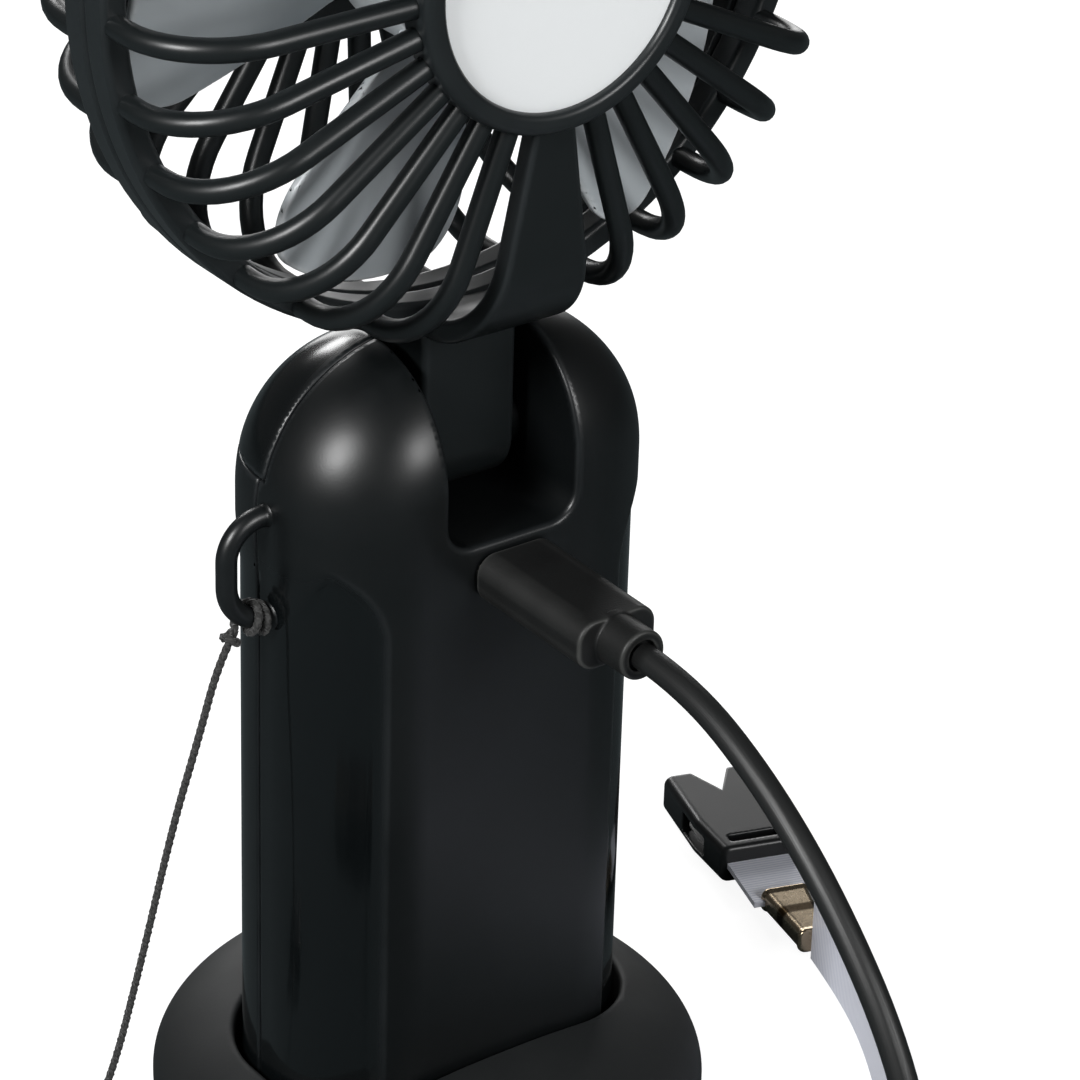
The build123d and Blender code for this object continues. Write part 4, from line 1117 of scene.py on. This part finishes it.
ringSockets = {
    "Count": "Int", "First Angle": "Float", "Angle Step": "Float", "Hub": "Vector", "Finish": "Material",
}


# Bars: one bent wire line, thickened and set round the hub
def makeBarTree():
    tree, given = startTree("cageBars", {
        **ringSockets, "Bar Radius": "Float", "Bend": "Float",
        "Root": "Vector", "Corner": "Vector", "Joint": "Vector",
    })
    pick = addNode(tree, "GeometryNodeIndexSwitch", data_type="VECTOR")
    pick.index_switch_items.new()
    for socket, value in zip(pick.inputs[1:4], (given["Root"], given["Corner"], given["Joint"])):
        tree.links.new(value, socket)
    tree.links.new(addNode(tree, "GeometryNodeInputIndex").outputs[0], pick.inputs["Index"])
    knots = addNode(tree, "GeometryNodePoints", {"Count": 3, "Position": pick.outputs[0]})
    wire = addNode(tree, "GeometryNodePointsToCurves", {"Points": knots.outputs[0]})
    bent = addNode(tree, "GeometryNodeFilletCurve", {
        "Curve": wire.outputs[0], "Radius": given["Bend"], "Count": cage["bendStops"],
    }, mode="POLY")
    ring = addNode(tree, "GeometryNodeCurvePrimitiveCircle", {
        "Resolution": cage["barSides"], "Radius": given["Bar Radius"],
    })
    bar = addNode(tree, "GeometryNodeCurveToMesh", {
        "Curve": bent.outputs[0], "Profile Curve": ring.outputs["Curve"], "Fill Caps": True,
    })
    smooth = addNode(tree, "GeometryNodeSetShadeSmooth", {"Geometry": bar.outputs[0]})
    points, angle = ringPoints(tree, given)
    return endTree(tree, given, points, smooth.outputs[0], angle)


def makeRingTree(name):
    tree, given = startTree(name, {"Piece": "Object", **ringSockets})
    piece = addNode(tree, "GeometryNodeObjectInfo", {"Object": given["Piece"], "As Instance": True})
    points, angle = ringPoints(tree, given)
    return endTree(tree, given, points, piece.outputs["Geometry"], angle)


def makeGridTree(name):
    tree, given = startTree(name, {"Piece": "Object", "Wide": "Float", "Deep": "Float", "Finish": "Material"})
    piece = addNode(tree, "GeometryNodeObjectInfo", {"Object": given["Piece"], "As Instance": True})
    grid = addNode(tree, "GeometryNodeMeshGrid", {
        "Size X": given["Wide"], "Size Y": given["Deep"], "Vertices X": 2, "Vertices Y": 2,
    })
    return endTree(tree, given, grid.outputs["Mesh"], piece.outputs["Geometry"])


def growTree(name, tree, values):
    # the tree's result as a plain mesh
    holder = addObject(name, bpy.data.meshes.new(name))
    modifier = holder.modifiers.new(name, "NODES")
    modifier.node_group = tree
    for item in tree.interface.items_tree:
        if item.in_out == "INPUT" and item.name in values:
            modifier[item.identifier] = values[item.name]
    bpy.context.view_layer.update()
    mesh = bpy.data.meshes.new_from_object(holder.evaluated_get(bpy.context.evaluated_depsgraph_get()))
    holder.modifiers.remove(modifier)
    holder.data = mesh
    print(name, len(mesh.polygons), "faces")
    return holder


def makeCage():
    hub, forward = (0, labelY, hubZ), (0, -1, 0)
    plate = cage["labelSeat"] + cage["hubPlate"]
    rimIn, cupOut = cage["rim"] - cage["wall"], cage["motor"] + cage["cupWall"]
    rim = [
        (0.05, cage["labelSeat"], 0), (cage["label"], cage["labelSeat"], 0.1),
        (cage["label"], -cage["rimProud"], 0.8), (cage["rim"], -cage["rimProud"], cage["rimRound"]),
        (cage["rim"], cage["rimDepth"], 0.6), (rimIn, cage["rimDepth"], 0.4), (rimIn, plate, 0.2),
        (cupOut, plate, 0.2), (cupOut, plate + cage["cupDepth"], 0.3),
        (cage["motor"], plate + cage["cupDepth"], 0.3), (cage["motor"], plate, 0.1), (0.05, plate, 0),
    ]
    ringIn = cage["ringOuter"] - cage["ringWidth"]
    rearRing = ringOutline(ringIn, cage["ringOuter"], cage["ringDepth"], cageMiddle, cage["ringRound"])
    frontRing = ringOutline(
        ringIn, cage["ringOuter"], cageMiddle, cageMiddle + cage["ringThickness"], cage["ringRound"]
    )
    disc = ringOutline(0.05, cage["rim"], cage["frontSeat"] - cage["bar"], cage["frontSeat"], 0.02)
    for corner in (1, 2):
        disc[corner] = (*disc[corner][:2], cage["discEdge"])
    for name, outline, node in (
        ("hubRim", rim, "rear_grille"), ("rearRing", rearRing, "rear_grille"),
        ("frontRing", frontRing, "front_grille"), ("frontDisc", disc, "front_grille"),
    ):
        dress(lathe(name, outline, hub, forward), grillePlastic, "head", "grille_pp", node)
    wide = cage["strutFoot"] + 1
    fieldPiece(
        "rearStrut", strutField, (-wide, labelY - cageMiddle - 1, hubZ - cage["ringOuter"] - 1),
        (wide, labelY + 1, hubZ - cage["rim"] + 3), cage["strutStep"],
        grillePlastic, "head", "grille_pp", "rear_grille",
    )
    tree = makeBarTree()
    rearStep = (360 - 2 * cage["strutGap"]) / (cage["count"] - 1)
    frontStep = 360 / cage["frontCount"]
    root, deep = cage["rim"] - cage["rootSink"], cage["ringDepth"] + cage["ringThickness"] / 2
    for name, facing, count, start, step, node in (
        ("rearBars", -1, cage["count"], 180 + cage["strutGap"], rearStep, "rear_grille"),
        ("frontBars", 1, cage["frontCount"], 0, frontStep, "front_grille"),
    ):
        turned = 0 if facing < 0 else -2 * cageMiddle
        bars = growTree(name, tree, {
            "Count": count,
            "First Angle": math.radians(start),
            "Angle Step": math.radians(step),
            "Hub": (0, labelY * mm, hubZ * mm),
            "Finish": grillePlastic,
            "Bar Radius": cage["bar"] / 2 * mm,
            "Root": (0, (facing * cage["rootDepth"] + turned) * mm, root * mm),
            "Corner": (0, (facing * cage["cornerDepth"] + turned) * mm, cage["radius"] * mm),
            "Joint": (0, (facing * deep + turned) * mm, cage["radius"] * mm),
            "Bend": cage["bend"] * mm,
        })
        dress(bars, None, "head", "grille_pp", node)
    seat = cage["frontSeat"]
    cap = [(0.05, seat, 0)] + [(radius, seat + rise, corner) for radius, rise, corner in cage["cap"]]
    dress(lathe("frontCap", cap, hub, forward), polishedPlastic, "head", "cap_abs", "front_cap")


makeCage()


# Impeller: a cup on the motor's shaft and five wide blades with round tips
impeller = {
    "blades": 5,
    "firstAngle": 15.0,
    "root": 13.75,
    "tip": 41.6,
    "corner": 7.0,
    "middle": 17.9,
    "pitch": (34.0, 18.0),
    "overrun": 4.0,
    "half": 0.6,
    "sideCentre": (-21.05, 41.75),
    "edge": 0.45,
    "step": 0.42,
    "hub": [  # radius, depth, corner
        (1.0, 18.1, 0), (2.6, 18.1, 0.2), (2.6, 22.4, 0.4), (13.0, 22.4, 0.8), (13.0, 11.9, 0.2),
        (14.5, 11.9, 0.4), (14.5, 23.9, 1.5), (1.0, 23.9, 0),
    ],
}


def bladeField(x, y, z):
    share = (z - impeller["root"]) / (impeller["tip"] + impeller["overrun"] - impeller["root"])
    steep, shallow = impeller["pitch"]
    pitch = np.radians(steep + (shallow - steep) * np.clip(share, 0, 1))
    sideX, sideZ = impeller["sideCentre"]
    edge = np.hypot(np.abs(x) - sideX, z - sideZ) - impeller["tip"]
    outline = roundMax(edge, np.hypot(x, z) - impeller["tip"], impeller["corner"])
    outline = np.maximum(outline, impeller["root"] - np.hypot(x, z))
    sheet = np.abs(y + impeller["middle"] + x * np.tan(pitch)) * np.cos(pitch) - impeller["half"]
    return roundMax(sheet, outline, impeller["edge"])


def makeImpeller():
    hub = lathe("impellerHub", impeller["hub"], (0, labelY, hubZ), (0, -1, 0))
    dress(hub, bladePlastic, "rotor", "blade_pc", "impeller")
    blade = meshFromField("blade", bladeField, (-23, -29, 10), (23, -7, 43), impeller["step"])
    blades = growTree("impellerBlades", makeRingTree("fanBlades"), {
        "Piece": blade,
        "Count": impeller["blades"],
        "First Angle": math.radians(impeller["firstAngle"]),
        "Angle Step": math.radians(360 / impeller["blades"]),
        "Hub": (0, labelY * mm, hubZ * mm),
        "Finish": bladePlastic,
    })
    bpy.data.objects.remove(blade)
    dress(blades, None, "rotor", "blade_pc", "impeller")


makeImpeller()


# Neck: barrel on the hinge pin and a square stem up to the cage
neckLow, neckHigh = boxMm("neck")
neck = {"halfWidth": neckHigh[0], "halfDepth": neckHigh[1], "edge": 0.8, "step": 0.35, "margin": 0.8}


def neckField(x, y, z):
    stem = np.maximum(roundRect(x, y, neck["halfWidth"], neck["halfDepth"], neck["edge"]), hingeZ - z)
    barrel = roundMax(
        np.hypot(y, z - hingeZ) - neck["halfDepth"], np.abs(x) - neck["halfWidth"], neck["edge"]
    )
    return np.maximum(np.minimum(stem, barrel), cage["ringOuter"] - np.hypot(x, z - hubZ))


fieldPiece(
    "neckStem", neckField, neckLow - neck["margin"], neckHigh + neck["margin"], neck["step"],
    grillePlastic, "head", "grille_pp", "neck",
)


# Charging plug: overmould with a waisted collar where the lead leaves
plug = {
    "halfWidth": 5.3,
    "halfHeight": 3.0,
    "corner": 2.4,
    "front": plugBox[0][1],
    "back": 34.4,
    "collar": 3.0,
    "collarSink": 1,
    "collarBlend": 0.2,
    "edge": 0.35,
    "boreGap": 0.3,
    "boreDepth": 0.9,
    "boreEdge": 0.15,
    "step": 0.2,
    "margin": 0.8,
}


def plugField(x, y, z):
    up = z - leadTop
    body = roundRect(x, up, plug["halfWidth"], plug["halfHeight"], plug["corner"])
    body = roundMax(roundMax(body, y - plug["back"], plug["edge"]), plug["front"] - y, plug["edge"])
    r = np.hypot(x, up)
    collar = roundMax(r - plug["collar"], y - leadStart, plug["edge"])
    collar = np.maximum(collar, plug["back"] - plug["collarSink"] - y)
    bore = np.maximum(r - lead["diameter"] / 2 - plug["boreGap"], leadStart - plug["boreDepth"] - y)
    return roundMax(roundMin(body, collar, plug["collarBlend"]), -bore, plug["boreEdge"])


fieldPiece(
    "chargingPlug", plugField, plugBox[0] - plug["margin"], plugBox[1] + plug["margin"], plug["step"],
    plugRubber, "handle", "cable_tpe", "usb_c_plug",
)
print("head and plug shaped")


# Base underside: soft ring and four screws with crossed recesses
baseUnder = {
    "pad": (24.4, 28.3, 0, 0.8, 0.25),  # inner and outer radius, low, high, corner
    "screwX": 20.0,
    "screwY": 39.0,
    "head": 2.2,
    "headLow": 0.8,
    "headHalf": 0.5,
    "headEdge": 0.25,
    "shank": (1.25, 4.2, 2.6),  # radius, middle, half length
    "recess": (0.32, 1.2, 0.6),  # half width, half length, depth
    "recessEdge": 0.08,
    "step": 0.16,
}


def screwField(x, y, z):
    r, half, low = np.hypot(x, y), baseUnder["headHalf"], baseUnder["headLow"]
    head = roundMax(r - baseUnder["head"], np.abs(z - low - half) - half, baseUnder["headEdge"])
    radius, middle, length = baseUnder["shank"]
    shank = np.maximum(r - radius, np.abs(z - middle) - length)
    thin, long, depth = baseUnder["recess"]
    cross = np.minimum(
        np.maximum(np.abs(x) - thin, np.abs(y) - long), np.maximum(np.abs(y) - thin, np.abs(x) - long)
    )
    recess = np.maximum(cross, z - low - depth)
    return roundMax(np.minimum(head, shank), -recess, baseUnder["recessEdge"])


def makeUnderside():
    pad = lathe("basePad", ringOutline(*baseUnder["pad"]), (0, 0, 0), (0, 0, 1))
    dress(pad, padRubber, "base", "rubber_pad", "base_pad")
    screw = meshFromField("screw", screwField, (-2.6, -2.6, 0.5), (2.6, 2.6, 7.1), baseUnder["step"])
    screws = growTree("baseScrews", makeGridTree("screwGrid"), {
        "Piece": screw,
        "Wide": baseUnder["screwX"] * mm,
        "Deep": baseUnder["screwY"] * mm,
        "Finish": zincSteel,
    })
    bpy.data.objects.remove(screw)
    dress(screws, None, "base", "steel", "base_screws")


makeUnderside()


# Button: a dished cap on its flange
button = {"flange": 7.5, "flangeRise": 0.6, "flangeEdge": 0.15, "cap": 6.5, "capEdge": 0.6, "dish": 4.8}


def makeButton():
    low, high = boxMm("power_button")
    rim, back, step = -low[1], -high[1], button["flangeRise"] - high[1]
    outline = [
        (0.05, back, 0), (button["flange"], back, button["flangeEdge"]),
        (button["flange"], step, button["flangeEdge"]), (button["cap"], step, 0.1),
        (button["cap"], rim, button["capEdge"]), (button["dish"], rim - 0.15, 4), (0.05, rim - 0.45, 0),
    ]
    piece = lathe("powerButton", outline, (0, 0, handle["buttonZ"]), (0, -1, 0))
    dress(piece, polishedPlastic, "button", "cap_abs", "power_button")


makeButton()


# Far end of the lead: tie round the coil and a ribbed plug
tailEnd = np.array(leadRoute[-1]) + coilHeading * lead["tail"]
tailEnd[2] = lead["usbAMiddle"]
tie = {
    "turn": 150.0,
    "inner": 15.8,
    "outer": 26.2,
    "low": 0.5,
    "high": 8.4,
    "thick": 0.5,
    "width": 6.0,
    "gap": 0.25,
    "corner": 1.6,
    "edge": 0.15,
    "lock": (2.0, 0.7, 0.4),  # half length, half height, corner
    "lockRise": 0.6,
    "lockHalf": 3.4,
    "step": 0.22,
}
usbA = {
    "body": (7.8, 3.8, 2.0),  # half width, half height, corner
    "length": 20,
    "frontEdge": 0.6,
    "backEdge": 1.6,
    "ribs": (4, 12),
    "ribPitch": 2.0,
    "ribDepth": 0.22,
    "ribFade": 0.5,
    "sleeve": ((-5, 1), (2.0, 3.2)),  # ends along, their radii
    "sleeveMiddle": -1.5,
    "sleeveHalf": 3,
    "sleeveBlend": 0.8,
    "mouth": (6.02, 2.27, 15.9),  # half width, half height, inner end
    "mouthEdge": 0.12,
    "step": 0.36,
}


def tieShape(side, along, up):
    middle, half = (tie["outer"] + tie["inner"]) / 2, (tie["outer"] - tie["inner"]) / 2
    rise = (tie["high"] - tie["low"]) / 2
    band = roundRect(along - middle, up - tie["low"] - rise, half + tie["gap"], rise + tie["gap"], tie["corner"])
    strip = roundMax(np.abs(band) - tie["thick"] / 2, np.abs(side) - tie["width"] / 2, tie["edge"])
    lock = roundRect(along - middle, up - tie["high"] - tie["lockRise"], *tie["lock"])
    return np.minimum(strip, roundMax(lock, np.abs(side) - tie["lockHalf"], tie["lock"][2]))


def usbAShape(side, along, up):
    first, last = usbA["ribs"]
    wave = np.clip(np.sin((along - first) * 2 * np.pi / usbA["ribPitch"]), 0, 1)
    rib = usbA["ribDepth"] * wave * smoothRamp((along - first) / usbA["ribFade"])
    body = roundRect(side, up, *usbA["body"]) + rib * smoothRamp((last - along) / usbA["ribFade"])
    body = roundMax(roundMax(body, along - usbA["length"], usbA["frontEdge"]), -along, usbA["backEdge"])
    reach = np.abs(along - usbA["sleeveMiddle"]) - usbA["sleeveHalf"]
    sleeve = np.maximum(np.hypot(side, up) - np.interp(along, *usbA["sleeve"]), reach)
    wide, tall, inner = usbA["mouth"]
    mouth = np.maximum(np.maximum(np.abs(side) - wide, np.abs(up) - tall), inner - along)
    return roundMax(roundMin(body, sleeve, usbA["sleeveBlend"]), -mouth, usbA["mouthEdge"])


def makeLeadEnd():
    angle = math.radians(tie["turn"])
    inward = -coilSide
    outward = np.array((
        inward[0] * math.cos(angle) - inward[1] * math.sin(angle),
        inward[0] * math.sin(angle) + inward[1] * math.cos(angle), 0,
    ))
    band = localPiece(
        "coilTie", tieShape, np.array((coilCentre[0], coilCentre[1], 0)), outward,
        (4, (tie["inner"] - 1, tie["outer"] + 1), (-0.3, 10)), tie["step"],
        plugRubber, "cable_tpe", "cable_tie",
    )
    grip = localPiece(
        "usbAGrip", usbAShape, tailEnd, coilHeading, (8.4, (-5.5, 20.8), (-4.4, 4.4)), usbA["step"],
        plugRubber, "cable_tpe", "usb_a_plug",
    )
    return band, grip


coilTie, usbAGrip = makeLeadEnd()


# Buckle halves, the tab of ribbon and its crimp
buckle = {"half": 6.5, "rise": 2.75, "corner": 1.3, "step": 0.24}
female = {
    "taper": ((0, 12, 20), (6.5, 6.5, 5.4)),  # places along, half widths there
    "halfLength": 10,
    "endEdge": 0.7,
    "flare": 0.5,
    "flareReach": 1.6,
    "pocket": (5.3, 1.65, 0.6),  # half width, half height, corner
    "pocketEnd": 15.0,
    "window": (11.2, 3.6, 1.5, 0.5),  # place, half length, half height, corner
    "windowSide": 3.2,
    "notch": (2.8, 0.5, 1.0),  # half width, taper, floor
    "slot": (17.6, 3.6, 0.8, 0.5),  # place, half width, half length, corner
    "cutEdge": 0.2,
}
male = {
    "halfLength": 3.5,
    "endEdge": 0.8,
    "ribDepth": 0.2,
    "ribPitch": 1.6,
    "ribSide": (4.5, 0.6),  # from the middle, over what width
    "hook": 0.55,
    "hookStart": (12, 1.0),  # place, over what length
    "hookEnd": (16.6, 3.0),
    "prong": (4.3, 1.1, 1.3, 0.5),  # place aside, half width, half height, corner
    "guide": (0.9, 1.3, 0.4),  # half width, half height, corner
    "guideEdge": 0.7,
    "reach": (11, 6),  # middle and half length of prongs and guide
    "blend": 0.4,
}
crimp = {
    "taper": ((0, 11), (3.2, 2.1)),
    "rise": 1.55,
    "corner": 1.0,
    "halfLength": 5.5,
    "edge": 0.3,
    "lip": 0.22,
    "lips": (1.0, 10.0),
    "lipReach": 0.6,
    "reflectionBand": (5.2, 1.0, 0.3),  # place, half length, fade
    "start": 29,
    "middle": 2.7,
    "step": 0.2,
}
tabSize = {"start": 17.8, "end": 30, "half": 4.6, "thin": 0.4, "stops": 14}


def femaleShape(side, along, up):
    half = np.interp(along, *female["taper"])
    body = roundRect(side, up, half, buckle["rise"], buckle["corner"])
    body = roundMax(body, np.abs(along - female["halfLength"]) - female["halfLength"], female["endEdge"])
    flare = female["flare"] * smoothRamp((female["flareReach"] - along) / female["flareReach"])
    wide, tall, corner = female["pocket"]
    pocket = np.maximum(roundRect(side, up, wide + flare, tall + flare, corner), along - female["pocketEnd"])
    place, long, tall, corner = female["window"]
    window = roundMax(np.abs(along - place) - long, np.abs(up) - tall, corner)
    window = np.maximum(window, female["windowSide"] - np.abs(side))
    wide, taper, floor = female["notch"]
    notch = np.maximum(np.abs(side) - wide + taper * along, floor - up)
    place, *size = female["slot"]
    slot = np.maximum(roundRect(side, along - place, *size), -up)
    cuts = np.minimum(np.minimum(pocket, window), np.minimum(notch, slot))
    return roundMax(body, -cuts, female["cutEdge"])


def maleShape(side, along, up):
    body = roundRect(side, up, buckle["half"], buckle["rise"], buckle["corner"])
    body = roundMax(body, np.abs(along - male["halfLength"]) - male["halfLength"], male["endEdge"])
    start, width = male["ribSide"]
    wave = np.clip(np.sin(along * 2 * np.pi / male["ribPitch"]), 0, 1)
    ribs = male["ribDepth"] * wave * smoothRamp((np.abs(side) - start) / width)
    (start, grows), (end, fades) = male["hookStart"], male["hookEnd"]
    hook = male["hook"] * smoothRamp((along - start) / grows) * smoothRamp((end - along) / fades)
    middle, half = male["reach"]
    place, wide, tall, corner = male["prong"]
    prong = roundRect(np.abs(side) - place - hook / 2, up, wide + hook / 2, tall, corner)
    prong = roundMax(prong, np.abs(along - middle) - half, corner)
    guide = roundMax(roundRect(side, up, *male["guide"]), np.abs(along - middle) - half, male["guideEdge"])
    return roundMin(body + ribs, np.minimum(prong, guide), male["blend"])


def crimpShape(side, along, up):
    first, last = crimp["lips"]
    rise = smoothRamp((first - along) / crimp["lipReach"]) + smoothRamp((along - last) / crimp["lipReach"])
    body = roundRect(side, up, np.interp(along, *crimp["taper"]), crimp["rise"], crimp["corner"])
    length = np.abs(along - crimp["halfLength"]) - crimp["halfLength"]
    return roundMax(body - crimp["lip"] * rise, length, crimp["edge"])


# where the dark band is painted on the crimp: a painted reflection
def crimpReflectionBand(side, along, up):
    place, half, fade = crimp["reflectionBand"]
    return smoothRamp((half - np.abs(along - place)) / fade)


def makeBuckles():
    malePiece = localPiece(
        "buckleMale", maleShape, np.array(lanyardRoute[-1]), (1, 0, 0), (7.2, (-0.6, 17.6), (-3.4, 3.4)),
        buckle["step"], bucklePlastic, "buckle_pom", "buckle_male",
    )
    mouth = strapMouth + np.array((0, 0, buckle["rise"]))
    femalePiece = localPiece(
        "buckleFemale", femaleShape, mouth, strapHeading, (7.2, (-0.6, 20.6), (-3.4, 3.4)),
        buckle["step"], bucklePlastic, "buckle_pom", "buckle_female",
    )
    lift = np.array((0, 0, crimp["middle"]))
    tabEnd = strapMouth + strapHeading * tabSize["end"] + lift
    line = np.linspace(mouth + strapHeading * tabSize["start"], tabEnd, tabSize["stops"]) * mm
    w, t = tabSize["half"] * mm, tabSize["thin"] * mm
    tab = sweepSection("strapTab", line, [(-w, -t), (w, -t), (w, t), (-w, t)])
    shadeFlat(dress(tab, ribbonSatin, "base", "ribbon_satin", "strap_tab"))
    crimpPiece = localPiece(
        "strapCrimp", crimpShape, strapMouth + strapHeading * crimp["start"] + lift, strapHeading,
        (4.2, (-0.8, 11.8), (-2.6, 2.6)), crimp["step"], crimpMetal, "crimp_metal", "strap_crimp",
        {"reflectionBand": crimpReflectionBand},
    )
    return malePiece, femalePiece, tab, crimpPiece


buckleMale, buckleFemale, strapTab, strapCrimp = makeBuckles()
print("small pieces shaped")


# Plain finishes for the solids that stay
solidFinish = {
    "battery_cell": cellWrap,
    "circuit_board": boardMask,
    "tact_switch": polishedPlastic,
    "charge_lamps": clearAcrylic,
    "usb_c_socket": nickelSteel,
    "usb_c_tongue": nickelSteel,
    "usb_a_shell": nickelSteel,
    "hinge_pin": turnedSteel,
    "hinge_washers": grillePlastic,
    "label_disc": labelVinyl,
    "motor_can": zincSteel,
    "motor_bush": bronze,
    "motor_shaft": turnedSteel,
    "base_plate": basePlastic,
}
for name, material in solidFinish.items():
    nodes[name].data.materials.clear()
    nodes[name].data.materials.append(material)
print("solids finished")


# Floor, backdrop and studio light: white to the camera, dim in reflections
stage = {
    "reach": 4.0,
    "drop": 0.0002,
    "matte": (0.6, 0.6, 0.6, 1),
    "dim": (0.1, 0.12, 0.126, 1),
    "faint": (0.32, 0.32, 0.32, 1),
    "white": (1, 1, 1, 1),
    "glow": 0.92,
    "ambient": 0.06,
    "backdrop": 1.0,
    "target": (0, 0, 0.1),
}


def makeStage():
    floorMesh = bpy.data.meshes.new("floor")
    reach = stage["reach"]
    corners = [(-reach, -reach, 0), (reach, -reach, 0), (reach, reach, 0), (-reach, reach, 0)]
    floorMesh.from_pydata(corners, [], [(0, 1, 2, 3)])
    floor = addObject("floor", floorMesh)
    floor.location.z = -stage["drop"]
    material = bpy.data.materials.new("paleFloor")
    material.use_nodes = True
    tree = material.node_tree
    tree.nodes.clear()
    ray = addNode(tree, "ShaderNodeLightPath")
    matte = addNode(tree, "ShaderNodeBsdfDiffuse", {"Color": stage["matte"]})
    dim = addNode(tree, "ShaderNodeBsdfDiffuse", {"Color": stage["dim"]})
    lit = addNode(tree, "ShaderNodeMixShader", {
        0: ray.outputs["Is Glossy Ray"], 1: matte.outputs[0], 2: dim.outputs[0],
    })
    faint = addNode(tree, "ShaderNodeBsdfDiffuse", {"Color": stage["faint"]})
    glow = addNode(tree, "ShaderNodeEmission", {"Color": stage["white"], "Strength": stage["glow"]})
    white = addNode(tree, "ShaderNodeAddShader", {0: faint.outputs[0], 1: glow.outputs[0]})
    seen = addNode(tree, "ShaderNodeMixShader", {
        0: ray.outputs["Is Camera Ray"], 1: lit.outputs[0], 2: white.outputs[0],
    })
    addNode(tree, "ShaderNodeOutputMaterial", {"Surface": seen.outputs[0]})
    floorMesh.materials.append(material)


def makeWorld():
    world = bpy.data.worlds.new("studio")
    scene.world = world
    world.use_nodes = True
    tree = world.node_tree
    tree.nodes.clear()
    ray = addNode(tree, "ShaderNodeLightPath")
    soft = addNode(tree, "ShaderNodeBackground", {"Color": stage["white"], "Strength": stage["ambient"]})
    white = addNode(tree, "ShaderNodeBackground", {"Color": stage["white"], "Strength": stage["backdrop"]})
    seen = addNode(tree, "ShaderNodeMixShader", {
        0: ray.outputs["Is Camera Ray"], 1: soft.outputs[0], 2: white.outputs[0],
    })
    addNode(tree, "ShaderNodeOutputWorld", {"Surface": seen.outputs[0]})


softboxes = {
    "sideBox": {"place": (0.75, 0.17, 0.57), "size": 0.26, "power": 8},
    "rearBox": {"place": (-0.17, 0.88, 0.52), "size": 0.34, "power": 5},
    "backBox": {"place": (-0.17, -0.87, 0.52), "size": 0.2, "power": 1.6},
    "fillBox": {"place": (-0.5, -0.75, 0.2), "size": 0.5, "power": 2.5},
}


def makeLights():
    target = Vector(stage["target"])
    for name, box in softboxes.items():
        data = bpy.data.lights.new(name, "AREA")
        data.size = box["size"]
        data.energy = box["power"]
        lamp = addObject(name, data)
        lamp.location = box["place"]
        lamp.rotation_mode = "QUATERNION"
        lamp.rotation_quaternion = (Vector(box["place"]) - target).to_track_quat("Z", "Y")


makeStage()
makeWorld()
makeLights()
print("stage lit")
